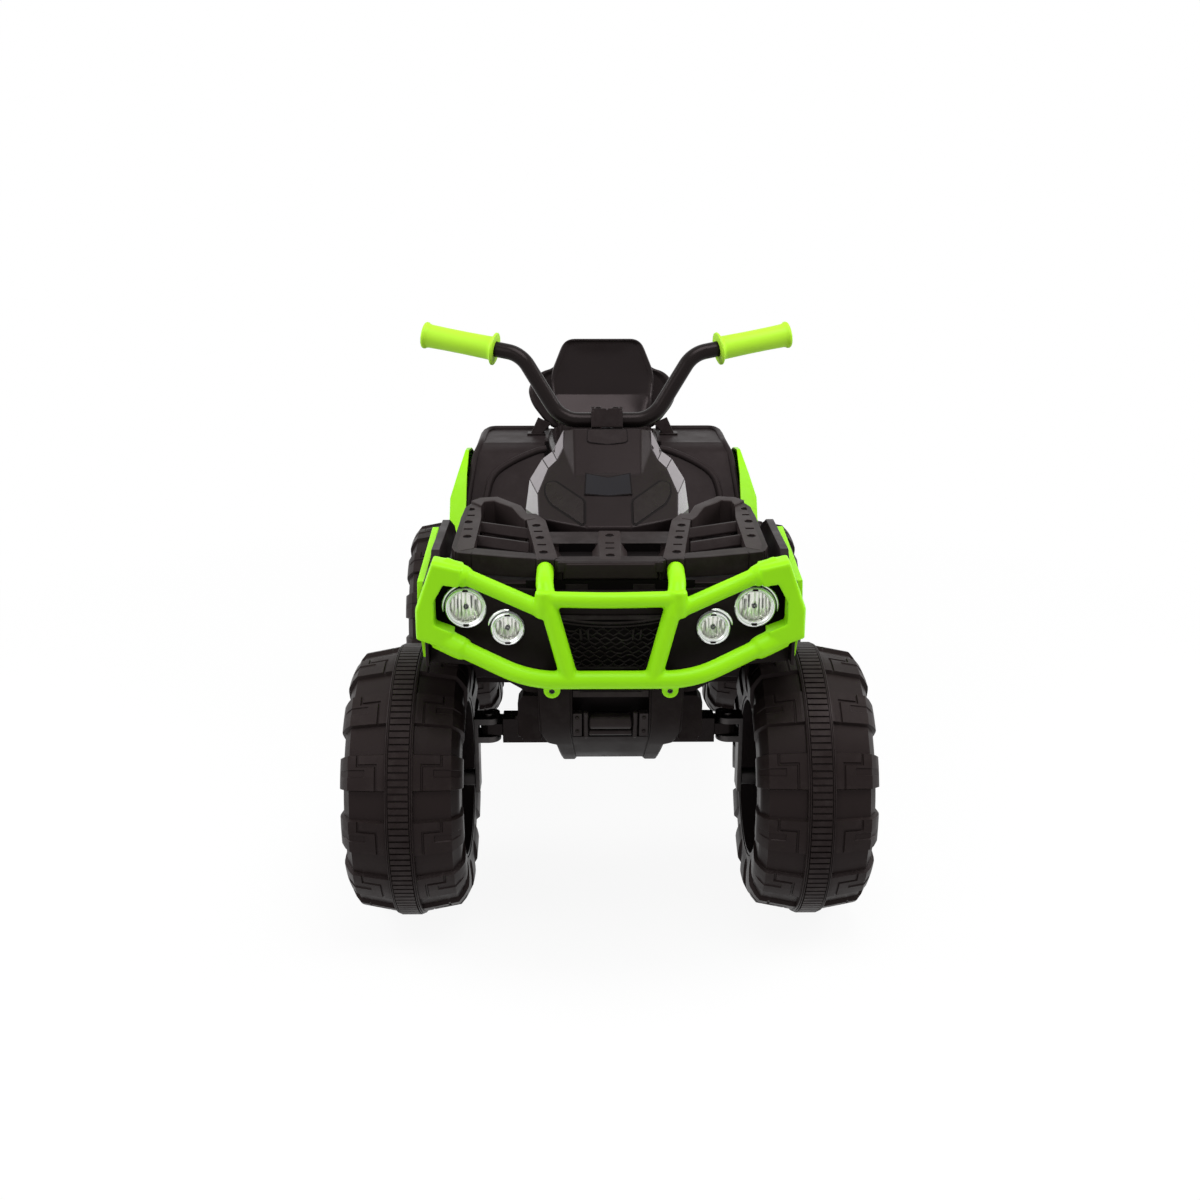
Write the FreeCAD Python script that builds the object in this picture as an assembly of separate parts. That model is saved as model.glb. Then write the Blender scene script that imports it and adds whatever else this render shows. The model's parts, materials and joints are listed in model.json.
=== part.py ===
"""A child's ride-on quad bike in millimetres: front towards -Y, rider's left at +X, up +Z, standing on z = 0."""
import FreeCAD, Part
import math
import os

os.makedirs("parts", exist_ok=True)
V = FreeCAD.Vector

# Layout of the whole toy
overall_length = 1050.0
wheel_base = 650.0
track = 515.0
sheet = 4.0  # moulded body panels
seat_gap = 0.2  # between pieces that rest on each other
pivot_gap = 0.1  # round a pin in its bore
run_gap = 0.5  # beside a piece that moves
overrun = 4.0  # how far a cut passes the face that it opens
corner_reach_share = 0.45  # most of an edge that one rounded corner may use

# Tyres: a crown with a raised middle ridge and a ring of lugs on each shoulder
tyre_radius = 180.0
tyre_width = 153.0
tyre_wall = 3.0
ridge_height = 10.0
ridge_width = 34.0
lug_height = 5.0
lug_count = 13
bead_radius = 106.0
lug_arc_share = 0.54
tread_shares = [(0.25, 1.0), (0.87, 0.95), (1.0, 0.85)]
lug_rise_shares = [(0.0, 1.0), (0.5, 0.9), (1.0, 0.4)]
wall_sink_shares = [(0.0, 1.0), (0.5, 0.9), (1.0, 0.3)]
lug_foot_share = 0.68

# Rims and hub caps
rim_wall = 4.0
rim_width = 140.0
web_offset = 8.0
web_thickness = 6.0
hub_radius = 24.0
hub_length = 72.0
rib_count = 10
rib_thickness = 4.0
rib_depth = 22.0
cap_depth = 14.0
cap_inset = 10.0
cap_face = 4.0
cap_boss_radius = 24.0
cap_boss_height = 8.0
cap_window_count = 5
cap_window_shares = [(0.36, 0.10), (0.84, 0.22)]

# Axles, nuts and the front beam
axle_radius = 6.0
nut_across = 19.0
nut_height = 9.0
beam_depth = 30.0
beam_height = 34.0
beam_lift = 73.0
kingpin_x = 158.0
kingpin_radius = 5.0
kingpin_head_radius = 8.0
kingpin_head = 4.0
sleeve_radius = 11.0
sleeve_height = 16.0
beam_end_gap = 3.0

# Steering knuckles and tie rod
knuckle_plate = 6.0
knuckle_depth = 32.0
knuckle_clearance = 2.0
collar_radius = 11.0
arm_width = 20.0
arm_pin_radius = 4.0
arm_pin_head_radius = 7.0
arm_pin_head = 3.0
tie_thickness = 5.0
tie_width = 26.0
slot_width = 8.4
slot_length = 16.0
slot_shift = 2.0

# Steering shaft with its crank, bushes, clamp and handlebar
column_foot_back = 40.0  # behind the front axle
column_foot_z = 262.0
column_top_y = -140.0
column_top_rise = 132.0  # over the deck
shaft_radius = 8.0
crank_radius = 40.0
crank_width = 18.0
crank_thickness = 6.0
crank_pin_radius = 3.0
crank_pin_length = 24.0
bush_radius = 14.0
bush_length = 16.0
bush_lip = 1.0
bar_radius = 10.5
bar_low_half = 62.0
bar_elbow_x = 117.0
bar_elbow_y = -120.0
bar_elbow_rise = 87.0  # over the column's top
bar_end_x = 246.0
bar_end_y = -91.0
bar_end_rise = 108.5
bar_bend = 42.0
clamp_width = 42.0
clamp_depth = 34.0
clamp_height = 26.0
clamp_groove = 2.0
screw_radius = 2.5
screw_head_radius = 4.5
screw_head = 2.5
screw_depth = 7.0
grip_length = 103.0
grip_radius = 15.5
grip_flange_radius = 22.0
grip_flange = 5.0
grip_end_radius = 18.0

# Chassis tub, front bulkhead and tunnel
tub_half = 98.0
tub_wall = 5.0
tub_floor_z = 205.0
tub_top_z = 335.0
tub_front_back = 120.0  # behind the front axle
tub_rear_share = 0.868
bearing_plate = 10.0
bearing_depth = 44.0
bearing_drop = 20.0
bulkhead_half = 66.0
bulkhead_foot_half = 124.0
bulkhead_waist_z = 345.0
bulkhead_front_y = -405.0
bulkhead_top_z = 395.0
deck_z = 495.0
tunnel_front_gap = 24.4  # behind the steering column at deck height
tunnel_rear_share = 0.537
tunnel_top_half = 90.0

# Skid plate under the nose, with a moulded roller in its recess
skid_top_z = 386.0
skid_foot_z = 250.0
skid_front_y = -496.0
skid_foot_y = -405.0
skid_top_half = 78.0
skid_foot_half = 52.0
skid_step_z = 268.0
skid_step_half = 74.0
skid_recess_half = 38.0
skid_recess_depth = 26.0
skid_recess_low_z = 288.0
roller_radius = 8.5
roller_lug_half = 8.0
roller_lug_height = 44.0

# Front fenders, fascia, lamps and grille
nose_half = 222.0
nose_front_y = -452.0
nose_rear_back = 213.0  # behind the front axle
nose_foot_z = 242.0
nose_brow_drop = 3.0  # under the deck
nose_crest_y = -235.0
nose_shoulder_y = -196.0
nose_shoulder_drop = 25.0
arch_radius = 215.0
column_slot_half = 32.0
column_slot_front = 56.0
fascia_low_z = 387.0
fascia_thickness = 6.0
fascia_front_y = -472.0
fascia_side_y = -436.0
fascia_shares = [(0.0, 1.0), (0.33, 0.95), (0.7, 0.46), (1.0, 0.0)]
lamp_big_inset = 50.0  # from the nose's side
lamp_big_y = -446.0
lamp_big_drop = 34.0  # under the deck
lamp_big_radius = 25.4
lamp_small_inset = 50.0  # from the big lamp
lamp_small_y = -459.0
lamp_small_drop = 56.0
lamp_small_radius = 20.6
bezel_wall = 2.6
lamp_reach = 8.0
lamp_depth = 24.0
lens_thickness = 2.0
lens_inset = 1.5
cup_wall = 1.6
cup_neck_share = 0.3
bulb_radius = 3.6
bulb_length = 12.0
grille_top_half = 66.0
grille_foot_half = 44.0
grille_top_z = 458.0
grille_foot_z = 391.0
grille_depth = 10.0
grille_frame = 6.0
grille_bar = 3.2
grille_columns = 6
grille_rows = 4

# Bumper
tube_radius = 10.8
upright_radius = 10.2
side_tube_radius = 9.7
cross_radius = 9.2
bumper_low_y = -514.0
bumper_low_z = 393.0
bumper_low_half = 95.0
bumper_knee_y = -468.0
bumper_knee_inset = 22.0  # from the nose's side
bumper_knee_z = 428.0
upright_top_x = 77.0
upright_top_rise = 17.0  # over the deck
upright_top_y = -494.0
upright_foot_x = 48.0
upright_rise = 8.0
bumper_bend = 34.0
side_tube_inset = 36.0  # from the nose's side
side_tube_y = -462.0
side_tube_drop = 1.0  # under the uprights' tops
side_tube_low_drop = 38.0
cross_drop = 24.0
cross_bow = 6.0
block_inset = 50.0  # from the nose's side
block_reach = 7.0  # past the nose's side
block_low_z = 416.0
block_top_rise = 16.0  # over the uprights' tops
block_depth = 32.0
block_shares = [
    (0.30, 0.0), (1.0, 0.13), (1.0, 0.46), (0.62, 1.0), (0.0, 0.92),
    (0.06, 0.72), (0.38, 0.76), (0.62, 0.46), (0.62, 0.28), (0.22, 0.20),
]
tab_x = 69.0
tab_radius = 11.0
tab_thickness = 9.0
tab_drop = 19.0
tab_hole_radius = 4.0
tab_screw_radius = 3.7
tab_screw_head_radius = 6.5
tab_screw_head = 4.0

# Front rack
rack_front_y = -455.0
rack_rear_y = -224.0
rack_half = 191.0
rack_front_rise = 23.0  # over the deck
rack_rear_rise = 44.0
rack_slab = 12.0
rack_skirt = 7.0
rack_corner = 8.0
rack_shares = [
    (0.30, 0.0), (0.36, 0.04), (0.62, 0.07), (0.96, 0.14), (1.0, 0.22), (0.955, 0.92), (0.90, 0.97), (0.78, 1.0),
    (0.64, 0.94), (0.60, 0.80), (0.535, 0.64), (0.49, 0.46),
]
rack_wing_shares = [
    (0.545, 0.14), (0.885, 0.20), (0.865, 0.86), (0.78, 0.92), (0.70, 0.86), (0.655, 0.66), (0.60, 0.46),
]
rack_well_shares = [(0.09, 0.12), (0.36, 0.12), (0.38, 0.40), (0.09, 0.40)]
rack_slat_shares = [0.32, 0.52, 0.72]
rack_slat = 13.0
rack_slat_drop = 4.0
rack_hole_radius = 4.0
rack_outer_hole_shares = [(0.925, 0.34), (0.925, 0.56), (0.925, 0.78)]
rack_inner_hole_shares = [(0.485, 0.20), (0.53, 0.36), (0.58, 0.56)]
rack_middle_hole_shares = [(0.0, 0.16), (0.0, 0.34)]

# Fins and green trims of the front fenders
fin_inset = 7.0  # from the nose's side to the fin's outside
fin_thickness = 16.0
fin_front_y = -440.0
fin_rear_y = -246.0
fin_height = 27.0
fin_lean = 6.0
front_trim_width = 8.5
front_trim_front_y = -443.0
front_trim_rear_inset = 4.0
front_trim_foot_z = 246.0
front_trim_top_z = 507.0
front_trim_shares = [(0.0, 0.78), (0.03, 0.93), (0.58, 1.0), (0.75, 0.90), (0.97, 0.16), (1.0, 0.0)]

# Bonnet: flat-sided, stacked outlines from its foot to the tilted crown under the handlebar
hood_front_y = -336.0
hood_rear_y = 52.0
hood_half = 112.0
hood_height = 127.0
hood_wall = 4.0
hood_window_thickness = 1.4
hood_rise_shares = [0.0, 0.25, 0.40, 0.63]
hood_row_shares = [
    [(0.30, 0.0), (0.93, 0.19), (1.0, 0.36), (0.85, 0.72), (0.62, 1.0)],
    [(0.30, 0.015), (0.95, 0.20), (1.0, 0.36), (0.82, 0.70), (0.57, 0.95)],
    [(0.30, 0.09), (0.84, 0.25), (0.92, 0.38), (0.72, 0.66), (0.52, 0.83)],
    [(0.33, 0.25), (0.62, 0.34), (0.66, 0.43), (0.60, 0.59), (0.50, 0.68)],
]
hood_crown_shares = [(0.40, 0.42), (0.57, 0.44), (0.57, 0.50), (0.53, 0.57), (0.47, 0.585)]
hood_crown_drop = 44.0
hood_window_shares = [(0.17, 0.405), (0.22, 0.53), (0.13, 0.60)]
hood_panel_shares = [(0.30, 0.20), (0.36, 0.41), (0.75, 0.33), (0.86, 0.27), (0.82, 0.17), (0.50, 0.08)]

# Dash panel on the rider's side of the bonnet, with its button and rockers
dash_half = 40.0
dash_length = 74.0
dash_thickness = 7.0
dash_sink = 4.0
dash_row_share = 0.52
button_radius = 9.0
button_height = 11.0
button_travel = 2.5
rocker_length = 22.0
rocker_width = 13.0
rocker_height = 9.0
rocker_rise = 2.5
rocker_gap = 1.4
rocker_x = 22.0
rocker_pin_radius = 1.5

# Rear fenders, tail and their green trims: places along the rear are shares from the fender's foot to the tail
rear_half = 228.0
rear_foot_reach = 217.0  # ahead of the rear axle
rear_foot_z = 243.0
rear_brow_share = 0.4365
rear_brow_z = 488.0
rear_crest_share = 0.5036
rear_crest_z = 502.0
rear_tail_share = 0.8106
rear_edge_share = 0.9592
rear_edge_z = 430.0
rear_low_share = 0.9808
rear_low_z = 320.0
rear_shoulder = 20.0
rear_shoulder_drop = 56.0
rear_trim_width = 27.0
rear_trim_front_inset = 12.0
rear_trim_rear_share = 0.9832
rear_trim_foot_z = 246.0
rear_trim_top_z = 493.0
rear_trim_brow_z = 428.0
rear_trim_lip = 6.0
rear_trim_shares = [
    (0.0, 0.0), (0.02, 0.20), (0.32, 0.88), (0.46, 1.0), (0.62, 0.96), (0.78, 0.87), (0.96, 0.62), (1.0, 0.28),
    (0.94, 0.10),
]
rear_arch_radius = 203.0
tail_lamp_in_x = 140.0
tail_lamp_out_x = 206.0
tail_lamp_low_z = 380.0
tail_lamp_top_z = 408.0

# Seat and backrest
seat_front_y = 60.0
seat_rear_share = 0.5851
seat_half = 96.0
seat_height = 38.0
seat_row_shares = [(0.0, 0.62, 0.55), (0.10, 0.74, 0.86), (0.42, 0.90, 0.82), (0.80, 1.0, 0.90), (1.0, 0.98, 1.0)]
seat_side_shares = [(0.94, 0.0), (1.0, 0.30), (0.95, 0.72), (0.72, 1.0)]
back_foot_share = 0.6331
back_height = 170.0
back_half = 134.0
back_thickness = 38.0
back_lean = 12.0
back_corner = 14.0
back_shares = [
    (0.74, 0.0), (0.78, 0.10), (0.86, 0.25), (0.96, 0.43), (1.0, 0.55), (1.0, 0.62), (0.95, 0.668), (0.66, 0.70),
    (0.57, 0.92), (0.51, 1.0),
]
back_scoop = 12.0
back_scoop_share = 0.82
strut_x = 92.0
strut_width = 16.0
strut_depth = 12.0
strut_reach = 44.0
strut_top_share = 0.45

# Battery, control box, charging socket
battery_length = 150.0
battery_width = 98.0
battery_height = 95.0
battery_y = 70.0
control_length = 80.0
control_width = 60.0
control_height = 26.0
control_y = -120.0
socket_radius = 9.0
socket_depth = 12.0
socket_pin_radius = 3.0
socket_y = 20.0
socket_z = 420.0
socket_flange_radius = 13.0
socket_flange = 2.5

# Drive: one motor, pinion and gear per rear wheel
gear_module = 2.0
gear_teeth = 50
pinion_teeth = 10
tooth_half_shares = [1.15, 0.42]
tooth_root_share = 1.25
gear_thickness = 12.0
gear_x = 124.0
drive_angle = 60.0
sleeve_wall = 9.0
pinion_shaft_radius = 2.5
box_wall = 3.0
box_out_x = 160.0
box_room = 5.0
motor_radius = 18.0
motor_length = 52.0
motor_boss_radius = 7.0

# Footboards and the accelerator pedal
board_half = 232.0
board_gap = 7.0
board_z = 228.0
board_thickness = 12.0
board_rib = 3.0
board_rib_width = 6.0
board_rib_count = 9
pedal_x = -166.0
pedal_width = 62.0
pedal_share = 0.4000  # of the footboard's length
pedal_thickness = 6.0
pedal_pivot_share = 0.519
pedal_lift = 26.0
pedal_pivot_rise = 9.0
pedal_pin_radius = 3.0
pedal_ear = 6.0
pedal_ear_depth = 16.0
pedal_hub_radius = 6.0
switch_width = 20.0
switch_depth = 14.0
switch_height = 12.0

# Places that follow from the sizes above
front_y = -wheel_base / 2
column_foot_y = front_y + column_foot_back
tub_front_y = front_y + tub_front_back
nose_rear_y = front_y + nose_rear_back
front_trim_rear_y = nose_rear_y - front_trim_rear_inset
rear_y = wheel_base / 2
rear_foot_y = rear_y - rear_foot_reach
rear_trim_front_y = rear_foot_y + rear_trim_front_inset
board_front_y = nose_rear_y + board_gap
board_rear_y = rear_foot_y - board_gap
pedal_pivot_y = board_front_y + pedal_pivot_share * (board_rear_y - board_front_y)
pedal_length = pedal_share * (board_rear_y - board_front_y)
wheel_x = track / 2
axle_z = tyre_radius
crown_radius = tyre_radius - ridge_height
tread_half = tyre_width / 2 - lug_height
drum_radius = bead_radius - seat_gap
drum_bore = drum_radius - rim_wall
beam_z = axle_z + beam_lift
sleeve_low_z = beam_z - sleeve_height / 2
sleeve_top_z = beam_z + sleeve_height / 2
ear_low_z = sleeve_low_z - seat_gap
ear_top_z = sleeve_top_z + seat_gap
ear_thickness = (beam_height - sleeve_height) / 2 - seat_gap
tie_z = ear_low_z - ear_thickness - seat_gap - tie_thickness
column_top_z = deck_z + column_top_rise
bar_elbow_z = column_top_z + bar_elbow_rise
bar_end_z = column_top_z + bar_end_rise
column_length = math.hypot(column_top_y - column_foot_y, column_top_z - column_foot_z)
column_tilt = math.atan2(column_top_y - column_foot_y, column_top_z - column_foot_z)
column_deck_y = column_foot_y + (deck_z - column_foot_z) * math.tan(column_tilt)
tunnel_front_y = column_deck_y + tunnel_front_gap
column_cos = math.cos(column_tilt)
column_sin = math.sin(column_tilt)
crank_drop = (column_foot_z - crank_radius * column_sin - tie_z - tie_thickness / 2) / column_cos
tie_y = column_foot_y + crank_radius * column_cos - crank_drop * column_sin
hood_length = hood_rear_y - hood_front_y
rack_front_z = deck_z + rack_front_rise
rack_rear_z = deck_z + rack_rear_rise
nose_brow_z = deck_z - nose_brow_drop
nose_shoulder_z = deck_z - nose_shoulder_drop
fin_out_x = nose_half - fin_inset
fin_in_x = fin_out_x - fin_thickness
bumper_knee_x = nose_half - bumper_knee_inset
side_tube_x = nose_half - side_tube_inset
block_in_x = nose_half - block_inset
block_out_x = nose_half + block_reach
lamp_big_x = nose_half - lamp_big_inset
lamp_small_x = lamp_big_x - lamp_small_inset
upright_top_z = deck_z + upright_top_rise
side_tube_z = upright_top_z - side_tube_drop
side_tube_low_z = upright_top_z - side_tube_low_drop
cross_z = upright_top_z - cross_drop
block_top_z = upright_top_z + block_top_rise
lamp_big_z = deck_z - lamp_big_drop
lamp_small_z = deck_z - lamp_small_drop
hood_foot_z = deck_z + seat_gap
nut_x = wheel_x + hub_length / 2 + run_gap
tail_y = overall_length / 2
rear_span = tail_y - rear_foot_y
rear_brow_y = rear_foot_y + rear_brow_share * rear_span
rear_crest_y = rear_foot_y + rear_crest_share * rear_span
rear_tail_y = rear_foot_y + rear_tail_share * rear_span
rear_edge_y = rear_foot_y + rear_edge_share * rear_span
rear_low_y = rear_foot_y + rear_low_share * rear_span
rear_trim_rear_y = rear_foot_y + rear_trim_rear_share * rear_span
tub_rear_y = rear_foot_y + tub_rear_share * rear_span
tunnel_rear_y = rear_foot_y + tunnel_rear_share * rear_span
seat_length = rear_foot_y + seat_rear_share * rear_span - seat_front_y
back_foot_y = rear_foot_y + back_foot_share * rear_span
lugs_arc = lug_arc_share * math.radians(360.0) / lug_count


def box(x0, x1, y0, y1, z0, z1):
    return Part.makeBox(x1 - x0, y1 - y0, z1 - z0, V(x0, y0, z0))


def slab(points, shift):
    """A flat outline of points pushed along a vector."""
    return Part.Face(Part.makePolygon(points + points[:1])).extrude(shift)


def side_prism(points, x0, x1):
    """An outline of (y, z) pairs, from x0 to x1."""
    return slab([V(x0, y, z) for y, z in points], V(x1 - x0, 0, 0))


def front_prism(points, y0, y1):
    """An outline of (x, z) pairs, from y0 to y1."""
    return slab([V(x, y0, z) for x, z in points], V(0, y1 - y0, 0))


def plan_prism(points, z0, z1):
    """An outline of (x, y) pairs, from z0 to z1."""
    return slab([V(x, y, z0) for x, y in points], V(0, 0, z1 - z0))


def rounded_edges(points, radius, closed):
    """Edges through points, with a tangent arc at each corner that is no larger than its sides allow."""
    count = len(points)
    edges = []
    last = None if closed else points[0]
    first = None
    for i in range(0 if closed else 1, count if closed else count - 1):
        before, here, after = points[i - 1], points[i], points[(i + 1) % count]
        back = (before - here).normalize()
        ahead = (after - here).normalize()
        half = back.getAngle(ahead) / 2
        room = corner_reach_share * min((before - here).Length, (after - here).Length)
        reach = min(radius / math.tan(half), room)
        bend = reach * math.tan(half)
        middle = (back + ahead).normalize()
        start = here + back * reach
        end = here + ahead * reach
        top = here + middle * (bend / math.sin(half) - bend)
        if last is not None:
            edges.append(Part.LineSegment(last, start).toShape())
        if first is None:
            first = start
        edges.append(Part.Arc(start, top, end).toShape())
        last = end
    edges.append(Part.LineSegment(last, first if closed else points[-1]).toShape())
    return edges


def rounded_slab(points, radius, shift):
    return Part.Face(Part.Wire(rounded_edges(points, radius, True))).extrude(shift)


def tube(points, radius, bend):
    """A round rod along straight runs joined by tangent arcs."""
    path = Part.Wire(rounded_edges(points, bend, False))
    ring = Part.Wire(Part.Circle(points[0], points[1] - points[0], radius).toShape())
    return path.makePipeShell([ring], True, False)


def rod(start, end, radius):
    return Part.makeCylinder(radius, (end - start).Length, start, end - start)


def ball(centre, radius):
    return Part.makeSphere(radius, centre)


def mirrored(shape):
    return shape.mirror(V(0, 0, 0), V(1, 0, 0))


def pair(shape):
    return Part.makeCompound([shape, mirrored(shape)])


def half_outline(points):
    """Both halves of an outline that is given for x >= 0."""
    return points + [(-x, y) for x, y in reversed(points) if x > 0]


def full_line(points):
    """Both halves of an open line that is given from the middle outwards."""
    return [(-x, y) for x, y in reversed(points) if x > 0] + points


def spread(shares, x0, x1, y0, y1):
    """Shares of a rectangle as places in it."""
    return [(x0 + s * (x1 - x0), y0 + t * (y1 - y0)) for s, t in shares]


def offset_line(points, distance):
    """An open line of pairs moved to its left with mitred corners."""
    moved = []
    for i, (y, z) in enumerate(points):
        normals = []
        for a, b in ((i - 1, i), (i, i + 1)):
            if a >= 0 and b < len(points):
                dy, dz = points[b][0] - points[a][0], points[b][1] - points[a][1]
                size = math.hypot(dy, dz)
                normals.append((-dz / size, dy / size))
        ny = sum(n[0] for n in normals) / len(normals)
        nz = sum(n[1] for n in normals) / len(normals)
        square = ny * ny + nz * nz
        moved.append((y + distance * ny / square, z + distance * nz / square))
    return moved


def bent_sheet(points, thickness, x0, x1):
    """A sheet that follows a line of (y, z) pairs, with its thickness on the right of the line."""
    return side_prism(points + offset_line(points, -thickness)[::-1], x0, x1)


def turned(profile):
    """A ring from (along, radius) pairs turned about the X axis."""
    face = Part.Face(Part.makePolygon([V(a, 0, r) for a, r in profile + profile[:1]]))
    return face.revolve(V(0, 0, 0), V(1, 0, 0), 360.0)


def hexagon(centre, across, height):
    """A nut's blank along +X."""
    corner = across / math.sqrt(3.0)
    points = [V(centre.x, centre.y + corner * math.cos(math.radians(60.0 * i)),
                centre.z + corner * math.sin(math.radians(60.0 * i))) for i in range(6)]
    return slab(points, V(height, 0, 0))


def on_column(shape):
    """From the shaft's own frame (Z up the shaft, Y to the rear) to the toy's."""
    shape = shape.copy()
    shape.rotate(V(0, 0, 0), V(1, 0, 0), -math.degrees(column_tilt))
    shape.translate(V(0, column_foot_y, column_foot_z))
    return shape


def tyre():
    tread = [(a * tread_half, r * crown_radius) for a, r in tread_shares] + [(tread_half, bead_radius)]
    inside = [(a - sa * tyre_wall, r - sr * tyre_wall)
              for (a, r), (sa, sr) in zip(tread, wall_sink_shares)] + [(tread_half - tyre_wall, bead_radius)]
    ring = turned([(-a, r) for a, r in tread[::-1]] + tread + inside[::-1] + [(-a, r) for a, r in inside])
    ridge = turned([(-ridge_width / 2, crown_radius - tyre_wall / 2), (-ridge_width / 2, tyre_radius),
                    (ridge_width / 2, tyre_radius), (ridge_width / 2, crown_radius - tyre_wall / 2)])
    top = [(a + sa * lug_height, r + sr * lug_height) for (a, r), (sa, sr) in zip(tread, lug_rise_shares)]
    foot_radius = lug_foot_share * crown_radius
    root = [(a - sa * tyre_wall / 2, r - sr * tyre_wall / 2) for (a, r), (sa, sr) in zip(tread, wall_sink_shares)]
    outline = top + [(tread_half + lug_height, foot_radius), (tread_half - tyre_wall / 2, foot_radius)] + root[::-1]
    lugs = []
    for side in (-1, 1):
        face = Part.Face(Part.makePolygon([V(side * a, 0, r) for a, r in outline + outline[:1]]))
        for i in range(lug_count):
            lug = face.revolve(V(0, 0, 0), V(1, 0, 0), math.degrees(lugs_arc))
            lug.rotate(V(0, 0, 0), V(1, 0, 0), 360.0 * i / lug_count)
            lugs.append(lug)
    return ring.fuse([ridge] + lugs).removeSplitter()


def rim():
    half = rim_width / 2
    drum = turned([(-half, drum_bore), (-half, drum_radius), (half, drum_radius), (half, drum_bore)])
    web_end = web_offset + web_thickness
    web = turned([(web_offset, 0), (web_offset, drum_bore + rim_wall / 2), (web_end, drum_bore + rim_wall / 2),
                  (web_end, 0)])
    hub = rod(V(-hub_length / 2, 0, 0), V(hub_length / 2, 0, 0), hub_radius)
    ribs = []
    for i in range(rib_count):
        rib = box(web_offset - rib_depth, web_offset, -rib_thickness / 2, rib_thickness / 2,
                  hub_radius - rib_thickness, drum_bore + rim_wall / 2)
        rib.rotate(V(0, 0, 0), V(1, 0, 0), 360.0 * i / rib_count)
        ribs.append(rib)
    bore = rod(V(-hub_length, 0, 0), V(hub_length, 0, 0), axle_radius + pivot_gap)
    return drum.fuse([web, hub] + ribs).cut(bore).removeSplitter()


def hub_cap():
    outer = drum_bore - seat_gap
    end = rim_width / 2 - cap_inset
    face = end - cap_face
    shell = turned([(end - cap_depth, outer - rim_wall), (end - cap_depth, outer), (end, outer),
                    (end, cap_boss_radius + cap_boss_height), (end + cap_boss_height, cap_boss_radius),
                    (end + cap_boss_height, 0), (face, 0), (face, outer - rim_wall)])
    windows = []
    for i in range(cap_window_count):
        (low, narrow), (high, wide) = cap_window_shares
        points = [(-narrow * outer, low * outer), (narrow * outer, low * outer),
                  (wide * outer, high * outer), (-wide * outer, high * outer)]
        window = rounded_slab([V(face - overrun, y, z) for y, z in points], cap_face,
                              V(cap_face + 2 * overrun, 0, 0))
        window.rotate(V(0, 0, 0), V(1, 0, 0), 360.0 * i / cap_window_count)
        windows.append(window)
    return shell.cut(windows)


def at_wheel(shape, y, left):
    shape = shape.copy()
    shape.translate(V(wheel_x, y, axle_z))
    return shape if left else mirrored(shape)


def nut(y):
    """The left nut at the outer end of an axle."""
    bore = rod(V(nut_x - overrun, y, axle_z), V(nut_x + nut_height + overrun, y, axle_z), axle_radius)
    return hexagon(V(nut_x, y, axle_z), nut_across, nut_height).cut(bore)


def front_beam():
    end = kingpin_x - knuckle_depth / 2 - beam_end_gap
    beam = box(-end, end, front_y - beam_depth / 2, front_y + beam_depth / 2,
               beam_z - beam_height / 2, beam_z + beam_height / 2)
    beam = beam.fuse(box(-kingpin_x, kingpin_x, front_y - sleeve_radius, front_y + sleeve_radius,
                         sleeve_low_z, sleeve_top_z))
    for x in (-kingpin_x, kingpin_x):
        beam = beam.fuse(rod(V(x, front_y, sleeve_low_z), V(x, front_y, sleeve_top_z), sleeve_radius))
    for x in (-kingpin_x, kingpin_x):
        beam = beam.cut(rod(V(x, front_y, sleeve_low_z - overrun), V(x, front_y, sleeve_top_z + overrun),
                            kingpin_radius + pivot_gap))
    return beam.removeSplitter()


def kingpin():
    head_z = ear_top_z + ear_thickness + seat_gap
    pin = rod(V(kingpin_x, front_y, ear_low_z - ear_thickness), V(kingpin_x, front_y, head_z), kingpin_radius)
    return pin.fuse(rod(V(kingpin_x, front_y, head_z), V(kingpin_x, front_y, head_z + kingpin_head),
                        kingpin_head_radius))


def knuckle():
    """The left knuckle: a C-shaped yoke, its steering arm, the stub axle and its nut."""
    plate_x = kingpin_x + sleeve_radius + knuckle_clearance
    plate_end = plate_x + knuckle_plate
    y0, y1 = front_y - knuckle_depth / 2, front_y + knuckle_depth / 2
    yoke = box(plate_x, plate_end, y0, y1, axle_z - knuckle_depth / 2, ear_top_z + ear_thickness)
    yoke = yoke.fuse([
        box(kingpin_x, plate_x, y0, y1, ear_top_z, ear_top_z + ear_thickness),
        rod(V(kingpin_x, front_y, ear_top_z), V(kingpin_x, front_y, ear_top_z + ear_thickness), knuckle_depth / 2),
        box(kingpin_x, plate_x, y0, y1, ear_low_z - ear_thickness, ear_low_z),
        rod(V(kingpin_x, front_y, ear_low_z - ear_thickness), V(kingpin_x, front_y, ear_low_z), knuckle_depth / 2),
        box(kingpin_x - arm_width / 2, kingpin_x + arm_width / 2, front_y, tie_y, ear_low_z - ear_thickness, ear_low_z),
        rod(V(kingpin_x, tie_y, ear_low_z - ear_thickness), V(kingpin_x, tie_y, ear_low_z), arm_width / 2),
    ])
    yoke = yoke.cut(rod(V(kingpin_x, front_y, ear_low_z - ear_thickness - overrun),
                        V(kingpin_x, front_y, ear_top_z + ear_thickness + overrun), kingpin_radius + pivot_gap))
    pin_end = tie_z - run_gap
    hub_end = wheel_x - hub_length / 2 - run_gap
    yoke = yoke.fuse([
        rod(V(kingpin_x, tie_y, pin_end), V(kingpin_x, tie_y, ear_low_z), arm_pin_radius),
        rod(V(kingpin_x, tie_y, pin_end - arm_pin_head), V(kingpin_x, tie_y, pin_end), arm_pin_head_radius),
        rod(V(plate_x, front_y, axle_z), V(hub_end, front_y, axle_z), collar_radius),
        rod(V(plate_x, front_y, axle_z), V(nut_x + nut_height, front_y, axle_z), axle_radius),
    ])
    return Part.makeCompound([yoke.removeSplitter(), nut(front_y)])


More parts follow.
